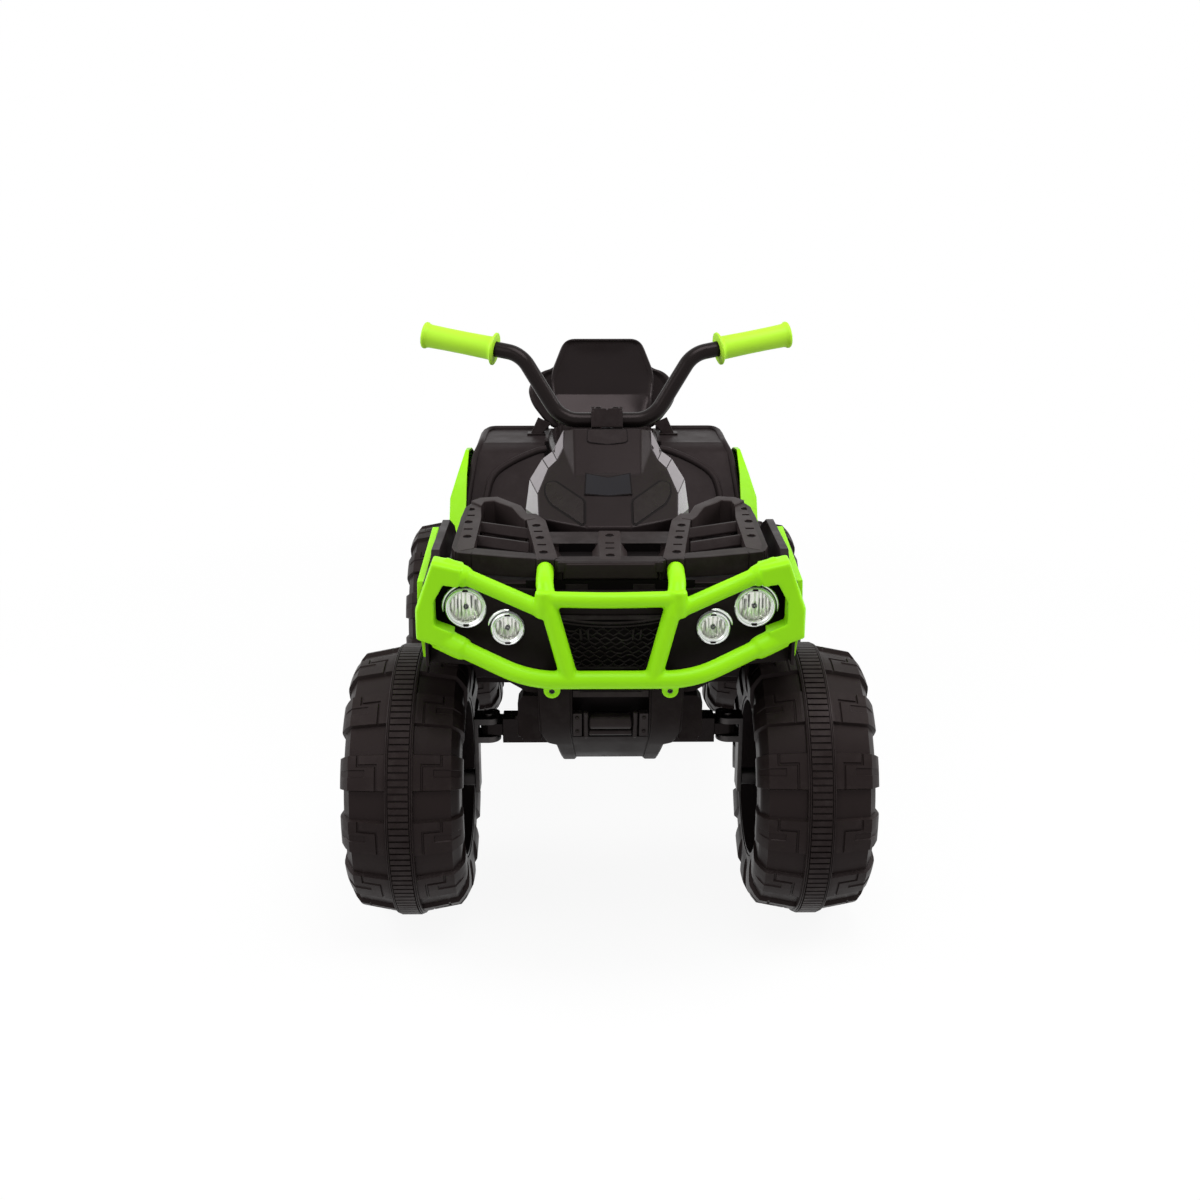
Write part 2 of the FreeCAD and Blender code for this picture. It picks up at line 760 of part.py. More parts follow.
def tie_rod():
    """A flat strip between both steering arms, with the slot that the crank's pin drives."""
    half = tie_width / 2
    strip = box(-kingpin_x, kingpin_x, tie_y - half, tie_y + half, tie_z, tie_z + tie_thickness)
    low, high = tie_z - overrun, tie_z + tie_thickness + overrun
    for x in (-kingpin_x, kingpin_x):
        strip = strip.fuse(rod(V(x, tie_y, tie_z), V(x, tie_y, tie_z + tie_thickness), half))
    for x in (-kingpin_x, kingpin_x):
        strip = strip.cut(rod(V(x, tie_y, low), V(x, tie_y, high), arm_pin_radius + pivot_gap))
    middle = tie_y - slot_shift
    slot = rounded_slab([V(x * slot_width / 2, middle + y * slot_length / 2, low)
                         for x, y in ((-1, -1), (1, -1), (1, 1), (-1, 1))], slot_width / 2, V(0, 0, high - low))
    return strip.cut(slot).removeSplitter()


def steering_shaft():
    top = column_length - clamp_height / 2
    shaft = rod(V(0, 0, 0), V(0, 0, top), shaft_radius)
    crank = box(-crank_width / 2, crank_width / 2, 0, crank_radius, 0, crank_thickness)
    crank = crank.fuse([
        rod(V(0, 0, 0), V(0, 0, crank_thickness), crank_width / 2),
        rod(V(0, crank_radius, 0), V(0, crank_radius, crank_thickness), crank_width / 2),
        rod(V(0, crank_radius, -crank_pin_length), V(0, crank_radius, crank_thickness), crank_pin_radius),
    ])
    return on_column(shaft.fuse(crank).removeSplitter())


def column_hole(low, high, radius):
    """A round cut along the shaft between two heights up it."""
    return on_column(rod(V(0, 0, low), V(0, 0, high), radius))


def crown_height():
    """How far up the shaft the bonnet's crown lies."""
    crown_y = hood_front_y + hood_crown_shares[0][1] * hood_length
    crown_z = hood_foot_z + hood_height
    fall = hood_crown_drop / ((hood_crown_shares[-1][1] - hood_crown_shares[0][1]) * hood_length)
    return (crown_z - column_foot_z + fall * (crown_y - column_foot_y)) / (column_cos + fall * column_sin)


def bulkhead_height():
    return (bulkhead_top_z - column_foot_z) / column_cos


def steering_bushes():
    rings = []
    for end in (bulkhead_height() + bush_length / 2, crown_height() + bush_lip):
        ring = rod(V(0, 0, end - bush_length), V(0, 0, end), bush_radius - seat_gap)
        rings.append(on_column(ring.cut(rod(V(0, 0, end - bush_length - overrun), V(0, 0, end + overrun),
                                            shaft_radius + pivot_gap))))
    return Part.makeCompound(rings)


def bar_points():
    half = [V(bar_end_x, bar_end_y, bar_end_z), V(bar_elbow_x, bar_elbow_y, bar_elbow_z),
            V(bar_low_half, column_top_y, column_top_z)]
    return half + [V(-p.x, p.y, p.z) for p in reversed(half)]


def handlebar():
    return tube(bar_points(), bar_radius, bar_bend)


def handlebar_clamp():
    low, high = column_length - clamp_height / 2, column_length + clamp_height / 2
    block = box(-clamp_width / 2, clamp_width / 2, -clamp_depth / 2, clamp_depth / 2, low, high)
    block = block.cut([
        rod(V(-clamp_width, 0, column_length), V(clamp_width, 0, column_length), bar_radius + seat_gap),
        box(-clamp_groove / 2, clamp_groove / 2, -clamp_depth, clamp_depth, high - clamp_groove, high + overrun),
    ])
    holes = [rod(V(x, y, high - screw_depth - seat_gap), V(x, y, high + overrun), screw_radius + pivot_gap)
             for x, y in clamp_screw_places()]
    return on_column(block.cut(holes))


def clamp_screw_places():
    x = clamp_width / 4 + clamp_groove / 2
    y = clamp_depth / 2 - screw_head_radius
    return [(sx * x, sy * y) for sx in (-1, 1) for sy in (-1, 1)]


def clamp_screws():
    high = column_length + clamp_height / 2
    screws = []
    for x, y in clamp_screw_places():
        shank = rod(V(x, y, high - screw_depth), V(x, y, high), screw_radius)
        screws.append(on_column(shank.fuse(rod(V(x, y, high), V(x, y, high + screw_head), screw_head_radius))))
    return Part.makeCompound(screws)


def grip():
    """The left grip, pushed over the end of the bar, with a flange at each end."""
    end, elbow = bar_points()[0], bar_points()[1]
    out = (end - elbow).normalize()
    start = end - out * (grip_length - grip_flange)
    cap = end + out * grip_flange
    body = rod(start, cap, grip_radius).fuse([
        rod(start, start + out * grip_flange, grip_flange_radius),
        rod(cap - out * 2 * grip_flange, cap, grip_end_radius),
    ])
    return body.cut(rod(start - out * overrun, end + out * seat_gap, bar_radius + pivot_gap)).removeSplitter()


def gear_blank(teeth, half_shares, phase):
    """A spur gear's outline with straight flanks; half_shares are tooth half widths of a quarter pitch."""
    pitch = gear_module * teeth / 2
    root, tip = pitch - tooth_root_share * gear_module, pitch + gear_module
    step = 2 * math.pi / teeth
    points = []
    for i in range(teeth):
        for radius, share in ((root, half_shares[0]), (tip, half_shares[1])):
            points.append((radius, phase + i * step - share * step / 4))
        for radius, share in ((tip, half_shares[1]), (root, half_shares[0])):
            points.append((radius, phase + i * step + share * step / 4))
    return [(radius * math.cos(angle), radius * math.sin(angle)) for radius, angle in points]


def mesh_direction():
    """From the wheel's axle to the motor's shaft: up and forwards, as an angle in the (y, z) plane."""
    return math.radians(180.0 - drive_angle)


def motor_place():
    reach = gear_module * (gear_teeth + pinion_teeth) / 2
    return (rear_y + reach * math.cos(mesh_direction()), axle_z + reach * math.sin(mesh_direction()))


def drive_gear():
    """The left drive gear and the sleeve that carries it on the wheel's hub."""
    outline = [(rear_y + y, axle_z + z) for y, z in gear_blank(gear_teeth, tooth_half_shares, mesh_direction())]
    gear = side_prism(outline, gear_x, gear_x + gear_thickness)
    hub_end = wheel_x - hub_length / 2 - seat_gap
    sleeve = rod(V(gear_x, rear_y, axle_z), V(hub_end, rear_y, axle_z), axle_radius + sleeve_wall)
    bore = rod(V(gear_x - overrun, rear_y, axle_z), V(hub_end + overrun, rear_y, axle_z), axle_radius + pivot_gap)
    return gear.fuse(sleeve).cut(bore).removeSplitter()


def motor_pinion():
    y, z = motor_place()
    gap = math.pi / pinion_teeth
    outline = gear_blank(pinion_teeth, tooth_half_shares, mesh_direction() + math.pi + gap)
    gear = side_prism([(y + a, z + b) for a, b in outline], gear_x, gear_x + gear_thickness)
    inner = tub_half - tub_wall - motor_boss_radius / 2
    return gear.fuse(rod(V(inner, y, z), V(gear_x + gear_thickness, y, z), pinion_shaft_radius)).removeSplitter()


def drive_motor():
    y, z = motor_place()
    end = tub_half - tub_wall - seat_gap
    can = rod(V(end - motor_length, y, z), V(end, y, z), motor_radius)
    boss = rod(V(end, y, z), V(tub_half + box_wall, y, z), motor_boss_radius)
    bore = rod(V(end - motor_boss_radius, y, z), V(tub_half + box_wall + overrun, y, z),
               pinion_shaft_radius + pivot_gap)
    return can.fuse(boss).cut(bore)


def gearbox():
    """The left gearbox housing, bolted to the tub's side."""
    tip = gear_module * (gear_teeth / 2 + 1) + box_room
    y, z = motor_place()
    small = gear_module * (pinion_teeth / 2 + 1) + box_room
    inner = tub_half + seat_gap

    def hull(growth, x0, x1):
        return rod(V(x0, rear_y, axle_z), V(x1, rear_y, axle_z), tip + growth).fuse(
            rod(V(x0, y, z), V(x1, y, z), small + growth)).removeSplitter()

    shell = hull(box_wall, inner, box_out_x).cut(hull(0, inner + box_wall, box_out_x - box_wall))
    return shell.cut([
        rod(V(inner - overrun, rear_y, axle_z), V(inner + box_wall + overrun, rear_y, axle_z),
            axle_radius + pivot_gap),
        rod(V(box_out_x - box_wall - overrun, rear_y, axle_z), V(box_out_x + overrun, rear_y, axle_z),
            axle_radius + sleeve_wall + run_gap),
        rod(V(inner - overrun, y, z), V(inner + box_wall + overrun, y, z), motor_boss_radius + pivot_gap),
    ])


def rear_axle():
    end = nut_x + nut_height
    return rod(V(-end, rear_y, axle_z), V(end, rear_y, axle_z), axle_radius)


def chassis():
    """The tub with its bearing plates, and the bulkhead over the front beam."""
    tub = box(-tub_half, tub_half, tub_front_y, tub_rear_y, tub_floor_z, tub_top_z)
    tub = tub.cut(box(-tub_half + tub_wall, tub_half - tub_wall, tub_front_y + tub_wall, tub_rear_y - tub_wall,
                      tub_floor_z + tub_wall, tub_top_z + overrun))
    beam_top = beam_z + beam_height / 2
    bulkhead = box(-bulkhead_half, bulkhead_half, bulkhead_front_y, tub_front_y, beam_top, bulkhead_top_z)
    inside = bulkhead_half - tub_wall
    gusset = front_prism(half_outline([(bulkhead_foot_half, beam_top), (bulkhead_half, bulkhead_waist_z)]),
                         front_y - beam_depth / 2, front_y - beam_depth / 2 + tub_wall)
    bulkhead = bulkhead.fuse(gusset)
    bulkhead = bulkhead.cut(box(-inside, inside, bulkhead_front_y + tub_wall, tub_front_y + overrun,
                                beam_top - overrun, bulkhead_top_z - tub_wall))
    body = tub.fuse(bulkhead)
    y, z = motor_place()
    for side in (-1, 1):
        x0, x1 = sorted((side * (tub_half - bearing_plate), side * tub_half))
        body = body.fuse(box(x0, x1, rear_y - bearing_depth / 2, rear_y + bearing_depth / 2,
                             axle_z - bearing_drop, tub_floor_z + tub_wall))
    cuts = [rod(V(-tub_half - overrun, rear_y, axle_z), V(tub_half + overrun, rear_y, axle_z),
                axle_radius + pivot_gap)]
    for side in (-1, 1):
        cuts.append(rod(V(side * (tub_half - tub_wall - overrun), y, z), V(side * (tub_half + overrun), y, z),
                        motor_boss_radius + pivot_gap))
    cuts.append(column_hole(bulkhead_height() - bush_length, bulkhead_height() + bush_length, bush_radius))
    return body.cut(cuts).removeSplitter()


def tunnel():
    """The hollow middle of the body between the leg wells."""
    def prism(inset, drop):
        low, high = tub_half - inset, tunnel_top_half - inset
        points = [(-low, tub_top_z + seat_gap - drop), (low, tub_top_z + seat_gap - drop),
                  (high, deck_z - inset), (-high, deck_z - inset)]
        return front_prism(points, tunnel_front_y + inset, tunnel_rear_y - inset)

    hole = rod(V(0, socket_y, socket_z), V(tub_half + overrun, socket_y, socket_z), socket_radius + pivot_gap)
    return prism(0, 0).cut([prism(sheet, overrun), hole])


def skid_plate():
    """A tapered chin from the bumper down to the front beam, with a roller in its recess."""
    beam_front = front_y - beam_depth / 2 - seat_gap
    low_z = beam_z - beam_height / 2
    side = [(skid_front_y, skid_top_z), (skid_foot_y, skid_foot_z), (beam_front, low_z),
            (beam_front, beam_z + beam_height / 2 - seat_gap), (bulkhead_front_y - seat_gap, beam_z + beam_height / 2),
            (bulkhead_front_y - seat_gap, skid_top_z)]
    solid = side_prism(side, -skid_top_half, skid_top_half)
    deep = skid_front_y - overrun, front_y
    keep = front_prism(half_outline([(skid_foot_half, low_z - overrun), (skid_foot_half, skid_step_z),
                                     (skid_step_half, skid_step_z), (skid_top_half, skid_recess_low_z),
                                     (skid_top_half, skid_top_z + overrun)]), *deep)
    solid = solid.common(keep)
    lean = (skid_foot_y - skid_front_y) / (skid_top_z - skid_foot_z)

    def face_y(z):
        return skid_front_y + (skid_top_z - z) * lean

    top = skid_top_z - sheet
    pocket = side_prism([(face_y(top) - overrun, top), (face_y(skid_recess_low_z) - overrun, skid_recess_low_z),
                         (face_y(skid_recess_low_z) + skid_recess_depth, skid_recess_low_z),
                         (face_y(top) + skid_recess_depth, top)], -skid_recess_half, skid_recess_half)
    solid = solid.cut(pocket)
    middle = (top + skid_recess_low_z) / 2
    drum_y = face_y(middle) + skid_recess_depth / 2
    reach = skid_recess_half + overrun
    drum = rod(V(-reach, drum_y, middle), V(reach, drum_y, middle), roller_radius)
    lugs = []
    low, high = middle - roller_lug_height / 2, middle + roller_lug_height / 2
    for sign in (-1, 1):
        x0 = sign * (skid_top_half - roller_lug_half * 2)
        lugs.append(side_prism([(face_y(high) - sheet, high), (face_y(low) - sheet, low), (face_y(low) + sheet, low),
                                (face_y(high) + sheet, high)], x0 - roller_lug_half, x0 + roller_lug_half))
    return solid.fuse([drum] + lugs)


def nose_line():
    return [(nose_front_y, nose_brow_z), (nose_crest_y, deck_z), (nose_shoulder_y, nose_shoulder_z),
            (nose_rear_y, nose_foot_z)]


def wheel_arch(y, radius, x0, x1):
    return rod(V(x0, y, axle_z), V(x1, y, axle_z), radius)


def nose_shell():
    """The front fenders in one bent sheet with a side skirt over each wheel."""
    line = nose_line()
    top = bent_sheet(line, sheet, -nose_half, nose_half)
    low = [(nose_rear_y, axle_z), (nose_front_y, axle_z)]
    skirt = side_prism(line + low, nose_half - sheet, nose_half)
    skirt = skirt.cut(wheel_arch(front_y, arch_radius, 0, nose_half + overrun))
    skirt = skirt.cut(box(0, nose_half + overrun, nose_front_y - overrun, front_y, 0, fascia_low_z))
    skirt = skirt.cut(box(0, nose_half + overrun, front_y, nose_rear_y + overrun, 0, nose_foot_z))
    shell = top.fuse([skirt, mirrored(skirt)])
    room = tub_half + seat_gap
    return shell.cut([
        box(-room, room, min(tunnel_front_y, tub_front_y) - seat_gap, nose_rear_y + overrun * 2, nose_foot_z - overrun * 2,
            deck_z + overrun),
        box(-column_slot_half, column_slot_half, column_deck_y - column_slot_front, tunnel_front_y, tub_top_z,
            deck_z + overrun),
    ]).removeSplitter()


def lamp_places():
    return [(lamp_big_x, lamp_big_y, lamp_big_z, lamp_big_radius),
            (lamp_small_x, lamp_small_y, lamp_small_z, lamp_small_radius)]


def grille_outline(inset):
    return half_outline([(grille_foot_half - inset, grille_foot_z + inset), (grille_top_half - inset, grille_top_z - inset)])


def fascia():
    """The dark face behind the bumper, swept back at both sides, with holes for lamps and grille."""
    half = nose_half - sheet - seat_gap
    front = spread(fascia_shares, 0, half, fascia_side_y, fascia_front_y)
    plan = full_line(front)
    back = [(x, y + fascia_thickness) for x, y in plan]
    body = plan_prism(plan + back[::-1], fascia_low_z, nose_brow_z - sheet - seat_gap)
    cuts = [front_prism(grille_outline(-seat_gap), fascia_front_y - overrun, fascia_front_y + grille_depth * 2)]
    for x, y, z, radius in lamp_places():
        for side in (-1, 1):
            cuts.append(rod(V(side * x, y - lamp_depth, z), V(side * x, y + lamp_depth, z), radius))
    return body.cut(cuts)


def grille():
    """A frame with a hexagon-like lattice of bars behind the two upright tubes."""
    front = fascia_front_y
    frame = front_prism(grille_outline(0), front, front + grille_depth)
    window = front_prism(grille_outline(grille_frame), front - overrun, front + grille_depth + overrun)
    bars = []
    width = 2 * grille_top_half / grille_columns
    height = (grille_top_z - grille_foot_z) / grille_rows
    for i in range(-1, grille_columns + 2):
        for sign in (-1, 1):
            x = -grille_top_half + i * width
            points = []
            for j in range(grille_rows + 1):
                points.append((x + sign * width / 4 * (1 if j % 2 else -1), grille_foot_z + j * height))
            strip = points + [(a + grille_bar, b) for a, b in points[::-1]]
            bars.append(front_prism(strip, front + grille_bar, front + grille_depth - grille_bar))
    lattice = bars[0].fuse(bars[1:]).common(front_prism(grille_outline(grille_frame / 2), front, front + grille_depth))
    return frame.cut(window).fuse(lattice).removeSplitter()


def lamp_bezels():
    rings = []
    for x, y, z, radius in lamp_places():
        outer = radius - seat_gap
        ring = rod(V(x, y - lamp_reach, z), V(x, y + lamp_reach, z), outer)
        ring = ring.cut(rod(V(x, y - lamp_reach - overrun, z), V(x, y + lamp_reach + overrun, z), outer - bezel_wall))
        rings.append(pair(ring))
    return Part.makeCompound(rings)


def cup_profile(radius):
    """Half of a reflector: wide at its mouth, narrow at its neck."""
    neck = radius * cup_neck_share
    depth = lamp_depth - lens_thickness
    return [(0, radius), (depth / 3, radius * (1 + cup_neck_share) / (1 + 2 * cup_neck_share)), (depth, neck),
            (depth, neck - cup_wall), (depth - cup_wall, neck - cup_wall),
            (depth / 3, radius * (1 + cup_neck_share) / (1 + 2 * cup_neck_share) - cup_wall), (0, radius - cup_wall)]


def lamp_reflectors():
    cups = []
    for x, y, z, radius in lamp_places():
        mouth = radius - 2 * seat_gap - bezel_wall
        cup = turned(cup_profile(mouth))
        cup.rotate(V(0, 0, 0), V(0, 0, 1), 90.0)
        cup.translate(V(x, y - lamp_reach + lens_inset + lens_thickness + seat_gap, z))
        cups.append(pair(cup))
    return Part.makeCompound(cups)


def lamp_lenses():
    discs = []
    for x, y, z, radius in lamp_places():
        mouth = radius - 2 * seat_gap - bezel_wall
        front = y - lamp_reach + lens_inset
        discs.append(pair(rod(V(x, front, z), V(x, front + lens_thickness, z), mouth)))
    return Part.makeCompound(discs)


def lamp_bulbs():
    bulbs = []
    for x, y, z, radius in lamp_places():
        neck = y - lamp_reach + lens_inset + lens_thickness + seat_gap + lamp_depth - lens_thickness
        hole = (radius - 2 * seat_gap - bezel_wall) * cup_neck_share - cup_wall - seat_gap
        base = rod(V(x, neck - bulb_length / 2, z), V(x, neck, z), hole)
        glass = rod(V(x, neck - bulb_length, z), V(x, neck - bulb_length / 2, z), bulb_radius)
        bulbs.append(pair(base.fuse([glass, ball(V(x, neck - bulb_length, z), bulb_radius)]).removeSplitter()))
    return Part.makeCompound(bulbs)


def bumper():
    """Moulded tubes: a low bar up to corner blocks, slanted side tubes, two uprights and a bowed crossbar."""
    def low_point(x):
        return V(x, bumper_low_y, bumper_low_z)

    low = [V(bumper_knee_x, bumper_knee_y, bumper_knee_z), low_point(bumper_low_half), low_point(-bumper_low_half),
           V(-bumper_knee_x, bumper_knee_y, bumper_knee_z)]
    tubes = [tube(low, tube_radius, bumper_bend)]
    block_z = block_low_z, block_top_z
    for sign in (-1, 1):
        points = spread(block_shares, block_in_x, block_out_x, *block_z)
        tubes.append(rounded_slab([V(sign * x, nose_front_y - seat_gap, z) for x, z in points], tube_radius / 2,
                                  V(0, -block_depth, 0)))
        crest = upright_top_z + upright_rise
        upright = [V(sign * upright_foot_x, bumper_low_y, bumper_low_z),
                   V(sign * upright_top_x, upright_top_y - upright_rise, upright_top_z - tube_radius),
                   V(sign * upright_top_x, rack_front_y - seat_gap, crest - tube_radius)]
        tubes.append(tube(upright, upright_radius, bumper_bend))
        tubes.append(rod(V(sign * side_tube_x, side_tube_y, side_tube_z),
                         V(sign * upright_top_x, upright_top_y - upright_rise, side_tube_low_z), side_tube_radius))
        tab_z = bumper_low_z - tab_drop
        tab_y = bumper_low_y + tube_radius - tab_thickness
        tubes.append(rod(V(sign * tab_x, tab_y, tab_z), V(sign * tab_x, tab_y + tab_thickness, tab_z), tab_radius))
    cross = [V(upright_top_x, upright_top_y - upright_rise, cross_z), V(0, upright_top_y - upright_rise - cross_bow, cross_z),
             V(-upright_top_x, upright_top_y - upright_rise, cross_z)]
    tubes.append(tube(cross, cross_radius, bumper_bend))
    body = tubes[0].fuse(tubes[1:])
    holes = []
    for sign in (-1, 1):
        tab_z = bumper_low_z - tab_drop
        holes.append(rod(V(sign * tab_x, bumper_low_y - 2 * tube_radius, tab_z),
                         V(sign * tab_x, bumper_low_y + 2 * tube_radius, tab_z), tab_hole_radius))
    return body.cut(holes).removeSplitter()


def bumper_screws():
    tab_z = bumper_low_z - tab_drop
    face = bumper_low_y + tube_radius - tab_thickness - seat_gap
    end = bumper_low_y + tube_radius + seat_gap
    screw = rod(V(tab_x, face, tab_z), V(tab_x, end, tab_z), tab_screw_radius)
    return pair(screw.fuse(rod(V(tab_x, face - tab_screw_head, tab_z), V(tab_x, face, tab_z), tab_screw_head_radius)))


def front_rack():
    """A slatted carrier over the front fenders, rising to the rear and open in the middle for the bonnet."""
    area = (0, rack_half, rack_front_y, rack_rear_y)
    plan = half_outline(spread(rack_shares, *area))
    base = deck_z + seat_gap
    high = rack_rear_z + overrun

    def flat(points, radius):
        return rounded_slab([V(x, y, base - overrun) for x, y in points], radius, V(0, 0, high - base + overrun))

    def layer(low, top):
        """Everything between two drops below the sloping top."""
        points = [(rack_front_y, rack_front_z - low), (rack_rear_y, rack_rear_z - low),
                  (rack_rear_y, rack_rear_z - top), (rack_front_y, rack_front_z - top)]
        return side_prism(points, -rack_half, rack_half)

    skirt = side_prism([(rack_front_y, base), (rack_rear_y, base), (rack_rear_y, rack_rear_z),
                        (rack_front_y, rack_front_z)], -rack_half, rack_half)
    hollow = [(x - math.copysign(rack_skirt, x), min(max(y, rack_front_y + rack_skirt), rack_rear_y - rack_skirt))
              for x, y in plan]
    frame = flat(plan, rack_corner)
    frame = frame.common(layer(rack_slab, 0)).fuse(frame.cut(flat(hollow, rack_corner)).common(skirt))
    wing = spread(rack_wing_shares, *area)
    well = spread(rack_well_shares, *area)
    frame = frame.cut([shape for points in (wing, well)
                       for shape in (flat(points, rack_corner), mirrored(flat(points, rack_corner)))])
    slats = []
    for share in rack_slat_shares:
        y = rack_front_y + share * (rack_rear_y - rack_front_y)
        slat = box(0, rack_half, y - rack_slat / 2, y + rack_slat / 2, base, high)
        slat = slat.common(flat(wing, rack_corner)).common(layer(rack_slab, rack_slat_drop))
        slats += [slat, mirrored(slat)]
    frame = frame.fuse(slats)
    holes = []
    for s, t in rack_outer_hole_shares + rack_inner_hole_shares + rack_middle_hole_shares:
        for sign in (-1, 1) if s else (1,):
            x = sign * s * rack_half
            y = rack_front_y + t * (rack_rear_y - rack_front_y)
            holes.append(rod(V(x, y, base - overrun), V(x, y, high), rack_hole_radius))
    return frame.cut(holes).removeSplitter()


def fender_fin():
    low = deck_z - sheet
    points = [(fin_in_x, low), (fin_out_x - fin_lean / 2, low), (fin_out_x, deck_z + fin_height),
              (fin_in_x + fin_lean, deck_z + fin_height)]
    blade = front_prism(points, fin_front_y, fin_rear_y)
    slope = side_prism([(fin_front_y - overrun, low - overrun), (fin_front_y - overrun, nose_brow_z + fin_height / 2),
                        (fin_front_y + fin_height, deck_z + fin_height), (fin_rear_y - fin_height, deck_z + fin_height),
                        (fin_rear_y + overrun, nose_brow_z + fin_height / 2), (fin_rear_y + overrun, low - overrun)],
                       fin_in_x - overrun, fin_out_x + overrun)
    return blade.common(slope).cut(side_prism(nose_line() + [(nose_rear_y, 0), (nose_front_y, 0)],
                                              0, nose_half))


def front_trim():
    """The left green trim along the fender's edge, cut by the wheel arch."""
    x0 = nose_half + seat_gap
    line = spread(front_trim_shares, front_trim_front_y, front_trim_rear_y, front_trim_foot_z, front_trim_top_z)
    trim = side_prism(line + [(front_y, front_trim_foot_z)], x0, x0 + front_trim_width)
    return trim.cut(wheel_arch(front_y, arch_radius, x0 - overrun, x0 + front_trim_width + overrun))


def hood_solid(inset):
    """The bonnet's outer form, drawn in by inset."""
    half = hood_half - inset
    wires = []
    rows = [(share * hood_height, shares) for share, shares in zip(hood_rise_shares, hood_row_shares)]
    for i, (rise, shares) in enumerate(rows):
        z = hood_foot_z + rise - (overrun if i == 0 and inset > 0 else 0)
        plan = spread(shares, 0, half, hood_front_y + inset, hood_rear_y - inset)
        points = [V(x, y, z) for x, y in half_outline(plan)]
        wires.append(Part.makePolygon(points + points[:1]))
    plan = spread(hood_crown_shares, 0, half, hood_front_y + inset, hood_rear_y - inset)
    first = plan[0][1]
    span = plan[-1][1] - first
    points = [V(x, y, hood_foot_z + hood_height - inset - hood_crown_drop * (y - first) / span)
              for x, y in half_outline(plan)]
    wires.append(Part.makePolygon(points + points[:1]))
    return Part.makeLoft(wires, True, True)


def hood():
    shell = hood_solid(0).cut(hood_solid(hood_wall))
    top = crown_height()
    shell = shell.cut(column_hole(top - 2 * bush_length, top + bush_length, bush_radius))
    return shell.cut(on_dash(box(-dash_half, dash_half, -dash_length / 2, dash_length / 2, -dash_thickness * 2,
                                 dash_thickness * 2)))


def hood_skin():
    return hood_solid(-hood_window_thickness).cut(hood_solid(0))


def hood_window():
    """A smoked strip on the bonnet's front."""
    points = half_outline(spread(hood_window_shares, 0, hood_half, hood_foot_z, hood_foot_z + hood_height))
    return hood_skin().common(front_prism(points, hood_front_y - overrun, column_top_y))


def hood_panel():
    """The left inset panel beside the window."""
    points = spread(hood_panel_shares, 0, hood_half, hood_foot_z, hood_foot_z + hood_height)
    return hood_skin().common(rounded_slab([V(x, hood_front_y - overrun, z) for x, z in points], rack_corner,
                                           V(0, column_top_y - hood_front_y, 0)))


def dash_frame():
    """Where the bonnet's rear slope lies: its middle and its angle."""
    low_y, top_y = (hood_front_y + hood_row_shares[row][-1][1] * hood_length for row in (1, 3))
    low_z, top_z = (hood_foot_z + hood_rise_shares[row] * hood_height for row in (1, 3))
    middle_y = low_y + dash_row_share * (top_y - low_y)
    middle_z = low_z + dash_row_share * (top_z - low_z)
    return middle_y, middle_z, math.atan2(low_y - top_y, top_z - low_z)


def on_dash(shape):
    """From the dash's own frame (Z out of its face, Y towards the rider) to the toy's."""
    y, z, slope = dash_frame()
    shape = shape.copy()
    shape.rotate(V(0, 0, 0), V(1, 0, 0), math.degrees(slope) - 90.0)
    shape.translate(V(0, y, z))
    return shape


def button_bore(radius, low, high):
    return rod(V(0, -dash_length / 4, low), V(0, -dash_length / 4, high), radius)


def dash_panel():
    half, long = dash_half - seat_gap, dash_length / 2 - seat_gap
    face = dash_thickness - dash_sink
    panel = box(-half, half, -long, long, -dash_sink, face)
    well = -dash_sink - rocker_height
    panel = panel.fuse([
        box(-rocker_x - rocker_width, rocker_x + rocker_width, 0, rocker_length + rocker_width, well, 0),
        button_bore(button_radius + sheet, well, 0),
    ])
    cuts = [button_bore(button_radius + run_gap, well + sheet, face + overrun)]
    for x in (-rocker_x, rocker_x):
        cuts.append(box(x - rocker_width / 2 - run_gap, x + rocker_width / 2 + run_gap,
                        dash_length / 4 - rocker_length / 2 - rocker_gap,
                        dash_length / 4 + rocker_length / 2 + rocker_gap, well + sheet, face + overrun))
    pins = [rod(V(x - rocker_width, dash_length / 4, 0), V(x + rocker_width, dash_length / 4, 0), rocker_pin_radius)
            for x in (-rocker_x, rocker_x)]
    return on_dash(panel.cut(cuts).fuse(pins).removeSplitter())


def start_button():
    face = dash_thickness - dash_sink
    top = face + button_travel + run_gap
    return on_dash(button_bore(button_radius, top - button_height, top))


def rocker(x):
    """A rocker with a raised saddle, turning on its pin."""
    face = dash_thickness - dash_sink
    half = rocker_length / 2
    top = face + rocker_rise
    points = [(-half, top + rocker_rise), (0, top), (half, top + rocker_rise), (half - rocker_rise, -rocker_rise),
              (rocker_rise, -rocker_height / 2), (-rocker_rise, -rocker_height / 2), (-half + rocker_rise, -rocker_rise)]
    points = [(dash_length / 4 + y, z) for y, z in points]
    body = side_prism(points, x - rocker_width / 2, x + rocker_width / 2)
    return on_dash(body.cut(rod(V(x - rocker_width, dash_length / 4, 0), V(x + rocker_width, dash_length / 4, 0),
                                rocker_pin_radius + pivot_gap)))


def rear_line():
    return [(rear_foot_y, rear_foot_z), (rear_brow_y, rear_brow_z), (rear_crest_y, rear_crest_z),
            (rear_tail_y, rear_crest_z), (rear_edge_y, rear_edge_z), (rear_low_y, rear_low_z)]


